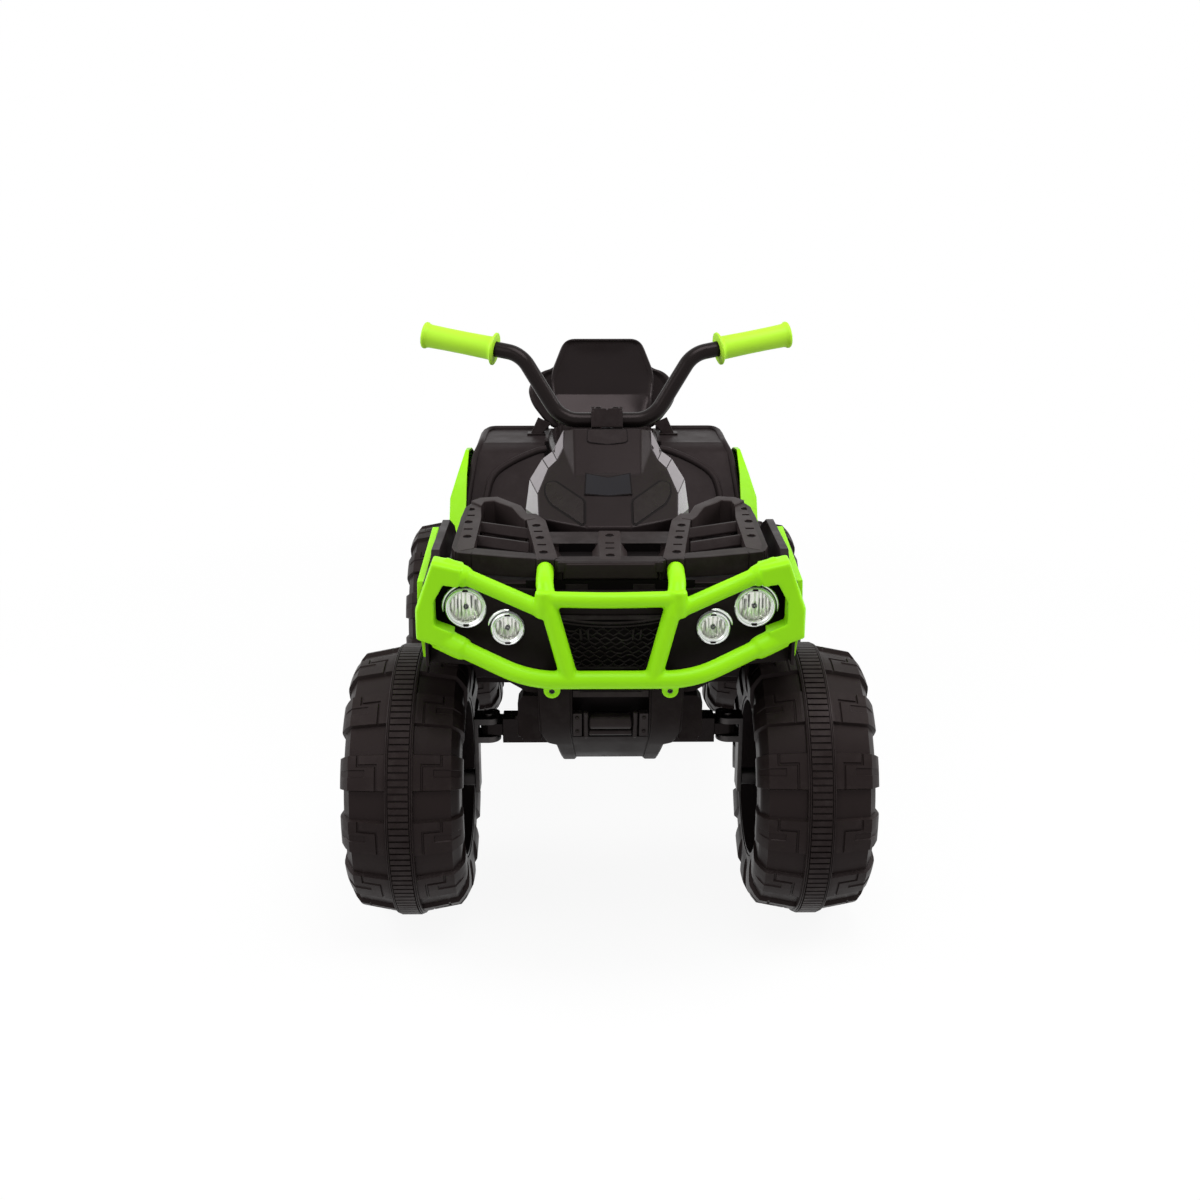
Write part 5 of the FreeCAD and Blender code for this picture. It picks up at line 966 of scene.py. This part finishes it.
def carrier_bar(outline, drop=0.0, deep=12.0):
    """A bar of the carrier under a plan outline, its top on the carrier's slope."""
    low = [(x, y, max(carrier_foot, carrier_top(y) - drop - deep)) for x, y in outline]
    return skin([low, [(x, y, carrier_top(y) - drop) for x, y in outline]])


def rail_cuts(rail):
    """Six-sided holes and short slots along a rail."""
    forms = []
    for sign in (1,) if rail == "middle" else (1, -1):
        for x, y in rail_holes[rail]:
            z = carrier_top(y)
            forms.append(tube([(sign * x, y, z - 9.5), (sign * x, y, z + 4)], 5.9, sides=6))
        for x, y in rail_slots[rail]:
            z = carrier_top(y) - 4.5
            forms.append(prism([(sign * x + 5.4 * a, y + 2.2 * b, z) for a, b in square], (0, 0, 8)))
    return joined(*forms)


def slat_form(y_out, y_in):
    """A sloped slat from the inner rail to the outer rail."""
    profile = [(2.6, 0.0), (-2.0, 0.0), (-9.0, -10.0), (-9.0, -12.5), (2.6, -12.5)]
    return skin([[(x, y + dy, carrier_top(y) - drop + dz) for dy, dz in profile]
                 for x, y, drop in ((99.0, y_in, 4.2), (166.0, y_out, 2.2))])


def drawn_in(end, beside):
    """An end of a skirt length, moved towards its neighbour to leave a break."""
    end, beside = Vector(end), Vector(beside)
    return tuple(end + (beside - end).normalized() * skirt_break)


def skirt_form():
    """The carrier's front and side skirt, in lengths with fine breaks between them."""
    forms = []
    for places in skirt_lengths:
        outer = [skirt_line[i] for i in places]
        outer[0] = drawn_in(outer[0], outer[1])
        outer[-1] = drawn_in(outer[-1], outer[-2])
        inner = [(x - skirt_sheet * (0.35 if y < -421 else 1.0), y + (skirt_sheet if y < -403 else 0.0))
                 for x, y in outer]
        plan = outer + inner[::-1]
        forms.append(skin([[(x, y, carrier_foot) for x, y in plan], [(x, y, carrier_top(y) + 0.2) for x, y in plan]]))
    return joined(*forms)


def hoop_form():
    return skin([[(x, y, carrier_foot + 0.2) for x, y in hoop_outline],
                 [(x, y, carrier_top(y) + (0.6 if y < -284 else 2.6)) for x, y in hoop_outline]])


def lip_form():
    """The lip in front, its corners drawn in towards its face."""
    rows = []
    for y, low, high, wide, narrow in ((-440, carrier_foot, 519.2, 57, 57), (-452.5, carrier_foot, 518.2, 56.8, 56.8),
                                       (-456.6, 498.6, 515.6, 55.5, 51.0)):
        rows.append([(-wide, y, low), (wide, y, low), (narrow, y, high), (-narrow, y, high)])
    return skin(rows)


def well_form():
    sides = [[(x, y, carrier_top(y) - drop) for x, y in line]
             for drop, line in ((1.5, [(73, -390), (66, -440)]), (14.0, [(58, -398), (55, -440)]))]
    return joined(carrier_bar([(-82, -346), (82, -346), (78, -386), (-78, -386)], 2.6, 4.0),
                  pair(skin(sides, False, False)))


def carrier_painted_shade():
    """Painted shade: dark sheets low in the carrier's openings, holes and slots, standing for the shade there."""
    dark = [[(x, y, 496.0) for x, y in ((100, -425), (165, -408), (165, -262), (118, -262))],
            [(x, y, carrier_top(y) - 13.0) for x, y in ((18, -436), (62, -436), (62, -384), (18, -384))],
            [(18, -386.6, 521.0), (62, -386.6, 521.0), (62, -386.6, 504.0), (18, -386.6, 504.0)]]
    for places in rail_holes.values():
        dark += [[(x + 5.7 * math.cos(math.pi * k / 3), y + 5.7 * math.sin(math.pi * k / 3), carrier_top(y) - 1.6)
                  for k in range(6)] for x, y in places]
    for places in rail_slots.values():
        dark += [[(x + 5.3 * a, y + 2.1 * b, carrier_top(y) - 1.2) for a, b in square] for x, y in places]
    return joined(*[prism(outline, (0, 0, -0.6)) for outline in dark])


def make_carrier():
    middle = skin([[(x, y, carrier_top(y) + dz - drop) for x, dz in middle_rib]
                   for y, drop in ((-446, 0.0), (-350, 0.0), (-338, 6.0))])
    for name, form, stands_for in (("outer_rails", pair(carrier_bar(outer_rail, 0.0, 13.0)), ["front_rack"]),
                                   ("inner_rails", pair(carrier_bar(inner_rail, 0.0, 44.0)), []),
                                   ("middle_rail", middle, [])):
        bar = cut_out(make_piece(name, *form), rail_cuts(name.split("_")[0]))
        dress(rounded(bar, 0.8, 2, 32.0), rail_black, "chassis", *stands_for)
    piece("carrier_hoops", pair(hoop_form()), rail_black, edge=1.3, angle=24.0)
    slats = pair(joined(slat_form(-309, -330), slat_form(-357, -378)))
    piece("carrier_slats", slats, carrier_black, edge=0.8, angle=24.0)
    piece("carrier_skirt", pair(skirt_form()), carrier_black, edge=0.9, angle=30.0)
    piece("carrier_lip", lip_form(), carrier_black, edge=1.1, segments=3, angle=14.0)
    front = [(84, -443), (118, -438), (166, -426.5), (166, -405), (118, -417), (90, -424)]
    bars = joined(carrier_bar([(-62, -455), (62, -455), (62, -434), (-62, -434)], 0.4), pair(carrier_bar(front, 0.4)),
                  pair(carrier_bar([(166, -427), (183, -422), (188, -404), (164, -404)], 0.3)))
    piece("carrier_front_bar", bars, carrier_black, edge=0.8, angle=32.0)
    piece("carrier_wells", well_form(), carrier_black)
    # Painted shade sheets in the carrier's openings, holes and slots.
    piece("carrier_painted_shade", pair(carrier_painted_shade()), seam_and_shade_black)


make_carrier()

# Nose: ribbed grille in its frame, a stepped skid plate with winch rollers, a chin and vents under the carrier

skid_line = [(-494, 386, 86.5), (-489.5, 340, 86.5), (-476, 312, 86), (-460, 292, 78.5), (-455, 287, 67),
             (-437, 268, 63.5), (-421, 253, 60.5), (-402, 245.5, 58.5), (-345, 238, 55)]
grille_foot, grille_top = 391.0, 458.0
skid_sheet, leg_rise = 9.0, 3.0
cell_rows, cell_pitch, cell_rise, cell_wave = 9, 6.2, 5.6, 1.9


def skid_slope(i):
    before, after = skid_line[max(0, i - 1)], skid_line[min(len(skid_line) - 1, i + 1)]
    return Vector((after[0] - before[0], after[1] - before[1])).normalized()


def skid_form():
    """The plate's front and underside, bent along its line."""
    rows = []
    for i, (y, z, half) in enumerate(skid_line):
        run = skid_slope(i)
        y2, z2 = y - run.y * skid_sheet, z + run.x * skid_sheet
        rows.append([(-half, y, z), (half, y, z), (half - 2, y2, z2), (-half + 2, y2, z2)])
    return skin(rows)


def skid_leg():
    """A raised leg beside the winch, carried down to the underside."""
    rows = []
    for i, (y, z, half) in enumerate(skid_line[:-1]):
        run = skid_slope(i)
        y2, z2 = y + run.y * leg_rise, z - run.x * leg_rise
        inner = 47.5 - 6.5 * max(0.0, 312.0 - z) / 67.0
        rows.append([(inner, y, z), (half - 1, y, z), (half - 3, y2, z2), (inner + 1.5, y2, z2)])
    return skin(rows)


def grille_half(z):
    return 44.0 + (z - grille_foot) * 22.0 / 67.0


def grille_forms():
    """Flattened cells from zigzag bars, a frame, two brow bars and short uprights."""
    forms = []
    for row in range(cell_rows):
        z = 395.5 + row * cell_rise
        half = grille_half(z) - 4.5
        steps = int(2 * half / cell_pitch)
        line = []
        for k in range(steps + 1):
            x = -half + 2 * half * k / steps
            wave = cell_wave if (round((x + 300.0) / cell_pitch) + row) % 2 else -cell_wave
            line.append((x, -472.6, z + wave))
        forms.append(tube(line, 0.95, sides=6))
    for z, drop, thick in ((455.0, 6.0, 1.7), (450.5, 6.0, 1.2)):
        half = grille_half(z) - 5.0
        brow = [(half * k / 8, -474.0, z - drop * (1 - (k / 8) ** 2)) for k in range(-8, 9)]
        forms.append(tube(brow, thick, sides=8))
    for x in (-36.0, -27.0, 27.0, 36.0):
        forms.append(tube([(x, -474.0, 441.0), (x * 0.97, -474.0, 428.0)], 1.3, sides=8))
    top, low = grille_half(grille_top), grille_half(grille_foot)
    side = [(top, grille_top), (low, grille_foot), (low - 4, 394.0), (top - 6, 453.5)]
    border = [[(top, grille_top), (top - 6, 453.5), (-top + 6, 453.5), (-top, grille_top)],
              [(low, grille_foot), (low - 4, 394.0), (-low + 4, 394.0), (-low, grille_foot)],
              side, [(-x, z) for x, z in side]]
    forms += [facing(outline, -474.6, 6.5) for outline in border]
    return joined(*forms)


def winch_form():
    """Two rollers between posts and blocks, under a rimmed shelf."""
    rollers = [tube([(x, -474, 324.5) for x in (-25.5, -24, 24, 25.5)], [7.6, 9.8, 9.8, 7.6], sides=28),
               tube([(-25.5, -471, 309), (25.5, -471, 309)], 4.2)]
    post = tube([(29.6, -484.5, 340.5), (29.6, -484.0, 339.0), (29.6, -471.5, 303.5), (29.6, -471.0, 302.0)],
                [2.0, 3.1, 3.1, 2.0], sides=18)
    block = prism([(34.4, -486.5, 339), (45.2, -486.5, 339), (45.2, -472.5, 304), (34.4, -472.5, 304)], (0, 12, 0))
    dots = [turned([(-1.6, 0.3), (-1.6, 2.2), (2.0, 2.6), (2.0, 0.3)], (40, y, z), (0, 1, 0), 20)
            for y, z in ((-484.6, 332.4), (-476.2, 311.4))]
    shelf = prism([(-45, -490.5, 370.5), (45, -490.5, 370.5), (45, -489.7, 361.5), (-45, -489.7, 361.5)], (0, 16, 0))
    rim = prism([(-37, -491.6, 369.0), (37, -491.6, 369.0), (37, -490.8, 363.0), (-37, -490.8, 363.0)], (0, 4, 0))
    return joined(*rollers, pair(joined(post, block, *dots)), shelf, rim)


def make_nose():
    piece("grille_cells", grille_forms(), grille_black, "grille")
    # Painted shade: dark sheets behind the grille, behind the winch opening and in the recess under the carrier.
    behind = [(66, grille_top), (44, grille_foot), (-44, grille_foot), (-66, grille_top)]
    under = [(64, -475, 384), (62, -451, 292), (-62, -451, 292), (-64, -475, 384)]
    dark = joined(facing(behind, -467.4, 0.8), prism(under, (0, 0.8, 0)), slab(-100, 100, -452.4, 474, deck_top, 0.8))
    piece("nose_painted_shade", dark, seam_and_shade_black)
    skid = cut_out(make_piece("skid_shell", *skid_form()), slab(-45.5, 45.5, -520, 373, 301, 80))
    dress(rounded(skid, 1.4, 2, 24.0), skid_black_painted_shade, "chassis", "skid_plate")
    shoulder = [(84, 346), (106.5, 346), (113, 337), (113, 293), (106, 287), (84, 287)]
    piece("skid_legs", pair(joined(skid_leg(), facing(shoulder, -446, 30))), skid_black_painted_shade, edge=1.6, angle=24.0)
    piece("winch_rollers", winch_form(), winch_black, edge=0.6, angle=40.0)
    chin = [(84, 388.5), (84, 356), (101, 358), (127, 373.6), (158, 388.5)]
    piece("nose_chin", pair(facing(chin, -462, 4)), skid_black_painted_shade)
    piece("nose_vents", pair(slab(27, 53, -453.6, 478.5, 490.5, 1.6)), rim_black, edge=0.6)


make_nose()

# Rear fenders: their sheet with a rolled rim along the tail and sides, and a raised ridge over the wheel


def make_rear_fenders():
    moulded("rear_fenders", fender_black, 3.0, 3)
    rim = tube([(96, 440, 502.5), (198, 440, 502.5), (206, 418, 502.0), (208, 322, 501.0), (217, 288, 486.0),
                (226.5, 238, 421), (227, 196, 364)], 5.2, 14.0, 14)
    ridge = tube([(96, 296.5, 495.4), (112, 294, 492.4), (149, 284, 479.4), (187.8, 268, 457.6), (197, 241.4, 422.0),
                  (200, 212, 382.6), (200, 190, 353)], 6.0, 22.0, 14)
    piece("fender_beads", pair(joined(rim, ridge)), fender_black, crease=50.0)


make_rear_fenders()

# Grips: smooth sleeves with a thin flange inside and a small one at the end

grip_length = 98.0
grip_profile = [(0.0, 10.8), (-0.2, 20.6), (0.5, 22.0), (2.4, 22.2), (3.4, 21.2), (3.8, 18.4), (5.4, 16.6), (9.0, 15.9),
                (40.0, 15.4), (70.0, 15.4), (94.0, 15.9), (97.4, 16.8), (98.8, 18.0), (101.0, 18.2), (102.4, 17.4),
                (103.0, 15.0), (103.0, 6.0), (102.2, 0.6), (98.6, 0.6), (98.6, 10.8)]


def make_grips():
    start, end = Vector((117.0, -120.0, 714.0)), Vector((246.0, -91.0, 735.5))
    along = (end - start).normalized()
    sleeve = turned(grip_profile, end - along * grip_length, along, 56)
    piece("grip_sleeves", pair(sleeve), lime_grip, "grips", body="steering", crease=40.0)


def make_clamp_ribs():
    """Two end ribs on the bar clamp, in the leaning column's own frame."""
    top, up = Vector(column_top), Vector((0.0, 145.0, 365.0)).normalized()
    ahead = Vector((1.0, 0.0, 0.0)).cross(up)
    outline = [(-17.4, -13.0), (-17.4, 9.5), (-12.5, 16.4), (12.5, 16.4), (17.4, 9.5), (17.4, -13.0)]
    ribs = prism([tuple(top + Vector((16.8, 0.0, 0.0)) + ahead * a + up * b) for a, b in outline], (4.8, 0.0, 0.0))
    piece("clamp_ribs", pair(ribs), satin_black, body="steering", edge=1.0)


make_grips()
make_clamp_ribs()

# Tail and sides: lamp surrounds, a slatted tail vent and ribbed covers on the tub


def tail_face(z):
    return 508.0 + (430.0 - z) * 9.0 / 110.0


def tail_strip(x0, x1, z0, z1, depth, lean=1.0):
    """A strip that stands out from the sloped tail; lean draws its top in."""
    low, high = tail_face(z0) - 2, tail_face(z1) - 2
    return prism([(x0, low, z0), (x1, low, z0), (x1 * lean, high, z1), (x0 * lean, high, z1)], (0, depth, 0))


def make_tail():
    edges = [(134, 212, 374, 380), (134, 212, 408, 414), (134, 140, 380, 408), (206, 212, 380, 408)]
    surround = pair(joined(*[tail_strip(*edge, 6.0) for edge in edges]))
    slats = []
    for k in range(5):
        z, half = 346.0 + k * 14.0, 96.0 - 2.2 * k
        back, front = tail_face(z) + 3.6, tail_face(z) - 2
        slats.append(prism([(-half, front, z), (half, front, z), (half, back, z + 1.2), (-half, back, z + 1.2)],
                           (0, 0, 6.0)))
    posts = [tail_strip(x0, x1, 336, 416, 5.6, 0.93) for x0, x1 in ((-106, -98), (98, 106))]
    piece("tail_vent", joined(surround, *slats, *posts), satin_black, edge=0.9)


def tail_lens():
    """A red lens with upright flutes and chamfered edges."""
    start, wide, steps = 140.0, 66.0, 48
    flute_depth, flute_steps = 1.1, 6.0
    rows = []
    for k in range(steps + 1):
        x = start + wide * k / steps
        ends = 2.0 if k in (0, steps) else 0.0
        face = 524.9 - ends - flute_depth * abs(math.sin(math.pi * k / flute_steps))
        low, high = 380.0 + 0.4 * ends, 408.0 - 0.4 * ends
        section = [(506.0, low), (face - 2.2, low), (face, low + 2.4), (face, high - 2.4), (face - 2.2, high),
                   (506.0, high)]
        rows.append([(x, y, z) for y, z in section])
    return skin(rows)


def softened_plan(plan):
    return [(place.x, place.y) for place in softened([(y, z, 0) for y, z in plan], 9.0, True, 5)]


def make_side_covers():
    plan = [(-96, 254), (-96, 296), (-70, 330), (60, 330), (88, 296), (88, 254)]
    forms = [sideways(softened_plan(plan), 97.6, 2.6)]
    for k in range(5):
        start = -62.0 + k * 27.0
        rib = [(start, 268), (start + 9, 268), (start + 20, 318), (start + 11, 318)]
        forms.append(sideways(rib, 100.0, 2.4))
    piece("tub_side_covers", pair(joined(*forms)), satin_black, edge=0.9)


def tunnel_side(z):
    return 98.0 - 8.0 * (z - 335.0) / 160.0


def make_side_panels():
    """Raised panels and a step line on the tunnel's leaning sides, clear of the charging socket."""
    plans = [[(-106, 350), (-84, 470), (-16, 470), (-16, 404), (-44, 350)],
             [(56, 350), (56, 404), (84, 470), (186, 470), (134, 400), (98, 350)]]
    forms = [prism([(tunnel_side(z) - 0.4, y, z) for y, z in softened_plan(plan)], (2.2, 0, 0)) for plan in plans]
    step_z = 342
    forms.append(tube([(tunnel_side(step_z) + 0.2, y, step_z) for y in (-108, 126)], 1.5, sides=10))
    piece("body_side_panels", pair(joined(*forms)), carrier_black, edge=0.8)


make_tail()
piece("tail_lenses", pair(tail_lens()), red_lens, "tail_lamps", crease=24.0)
make_side_covers()
make_side_panels()

# Nodes whose shape stays, with soft edges

plain_nodes = {
    satin_black: ["body_tunnel", "chassis_tub", "charging_socket", "control_box", "dash_panel", "direction_rocker",
                  "fender_fins", "footboards", "front_fenders", "gearboxes", "handlebar_clamp", "pedal_switch",
                  "speed_rocker", "steering_bushes", "accelerator_pedal"],
    nose_black_painted_shade: ["front_fascia"],
    lime: ["front_fender_trims", "rear_fender_trims"],
    zinc: ["steering_shaft", "rear_axle", "pedal_pin", "drive_motors"],
    dull_steel: ["kingpins", "knuckle_left", "knuckle_right", "tie_rod"],
    bar_black: ["front_axle_beam", "handlebar", "clamp_screws"],
    rim_black: ["rim_front_left", "rim_front_right", "rim_rear_left", "rim_rear_right"],
    case_grey: ["battery"],
    nylon: ["drive_gear_left", "drive_gear_right"],
    brass: ["motor_pinion_left", "motor_pinion_right"],
    red_knob: ["start_button"],
}
fine_words = ("gear", "pinion", "rocker")
for finish, nodes in plain_nodes.items():
    for node in nodes:
        moulded(node, finish, 0.5 if any(word in node for word in fine_words) else 0.9)

# Studio: pale floor, soft light and the camera


def light_path_mix(tree, plain, shown, output):
    """Shows one shader to the eye, mirrors and glass, and the other to the light that falls on the toy."""
    path, mix = tree.nodes.new("ShaderNodeLightPath"), tree.nodes.new("ShaderNodeMixShader")
    seen, through = maths_node(tree, "MAXIMUM"), maths_node(tree, "MAXIMUM")
    wire(tree, (path, "Is Camera Ray", seen, 0), (path, "Is Glossy Ray", seen, 1), (seen, 0, through, 0),
         (path, "Is Transmission Ray", through, 1), (through, 0, mix, "Fac"), (plain, 0, mix, 1), (shown, 0, mix, 2),
         (mix, 0, tree.nodes[output], "Surface"))


def studio_world():
    world = bpy.data.worlds.new("white studio")
    bpy.context.scene.world = world
    world.use_nodes = True
    tree = world.node_tree
    around = give(tree.nodes["Background"], Color=(1.0, 1.0, 1.0, 1.0), Strength=0.32)
    white = give(tree.nodes.new("ShaderNodeBackground"), Color=(1.0, 1.0, 1.0, 1.0), Strength=1.0)
    light_path_mix(tree, around, white, "World Output")


def studio_floor():
    """A pale floor, seen as white far out and a little darker round the toy."""
    half_size, height = 9000, -0.5
    corners = [(half_size * x, half_size * y, height) for x, y in square]
    floor = make_piece("studio_floor", corners, [(0, 1, 2, 3)])
    paint = bpy.data.materials.new("pale floor")
    paint.use_nodes = True
    tree = paint.node_tree
    tree.nodes.remove(tree.nodes["Principled BSDF"])
    matt = give(tree.nodes.new("ShaderNodeBsdfDiffuse"), Color=(0.86, 0.86, 0.86, 1.0))
    white, half = tree.nodes.new("ShaderNodeEmission"), tree.nodes.new("ShaderNodeMixShader")
    place, reach = tree.nodes.new("ShaderNodeTexCoord"), tree.nodes.new("ShaderNodeVectorMath")
    reach.operation = "LENGTH"
    fade = spread_node(tree, 0.8, 1.8, 0.92, 1.0)
    wire(tree, (place, "Object", reach, 0), (reach, "Value", fade, "Value"), (fade, "Result", half, "Fac"),
         (matt, 0, half, 1), (white, 0, half, 2))
    light_path_mix(tree, matt, half, "Material Output")
    floor.data.materials.append(paint)


def soft_lamp(name, place, aim, size, power):
    lamp = bpy.data.lights.new(name, "AREA")
    lamp.shape = "DISK"
    lamp.size = size
    lamp.energy = power
    obj = link(name, lamp)
    obj.location = place
    obj.rotation_euler = (Vector(aim) - Vector(place)).to_track_quat("-Z", "Y").to_euler()


def studio_camera():
    camera = bpy.data.cameras.new("photo camera")
    camera.lens = 41.07
    camera.sensor_width = 36.0
    obj = link("photo camera", camera)
    obj.location = (-0.0272, -1.9955, 0.9774)
    obj.rotation_euler = (math.radians(90.0 - 18.18), 0.0, math.radians(-0.55))
    bpy.context.scene.camera = obj


studio_world()
studio_floor()
soft_lamp("top softbox", (0.3, -0.9, 2.6), (0.0, -0.1, 0.4), 1.5, 38.0)
soft_lamp("front softbox", (-1.6, -2.4, 1.9), (0.0, -0.2, 0.4), 1.6, 13.0)
soft_lamp("right side softbox", (-1.9, 0.0, 1.4), (0.0, -0.1, 0.45), 1.2, 26.0)
soft_lamp("left side softbox", (1.9, 0.0, 1.4), (0.0, -0.1, 0.45), 1.2, 26.0)
studio_camera()
bpy.context.scene.view_settings.view_transform = "Standard"

bpy.context.view_layer.update()
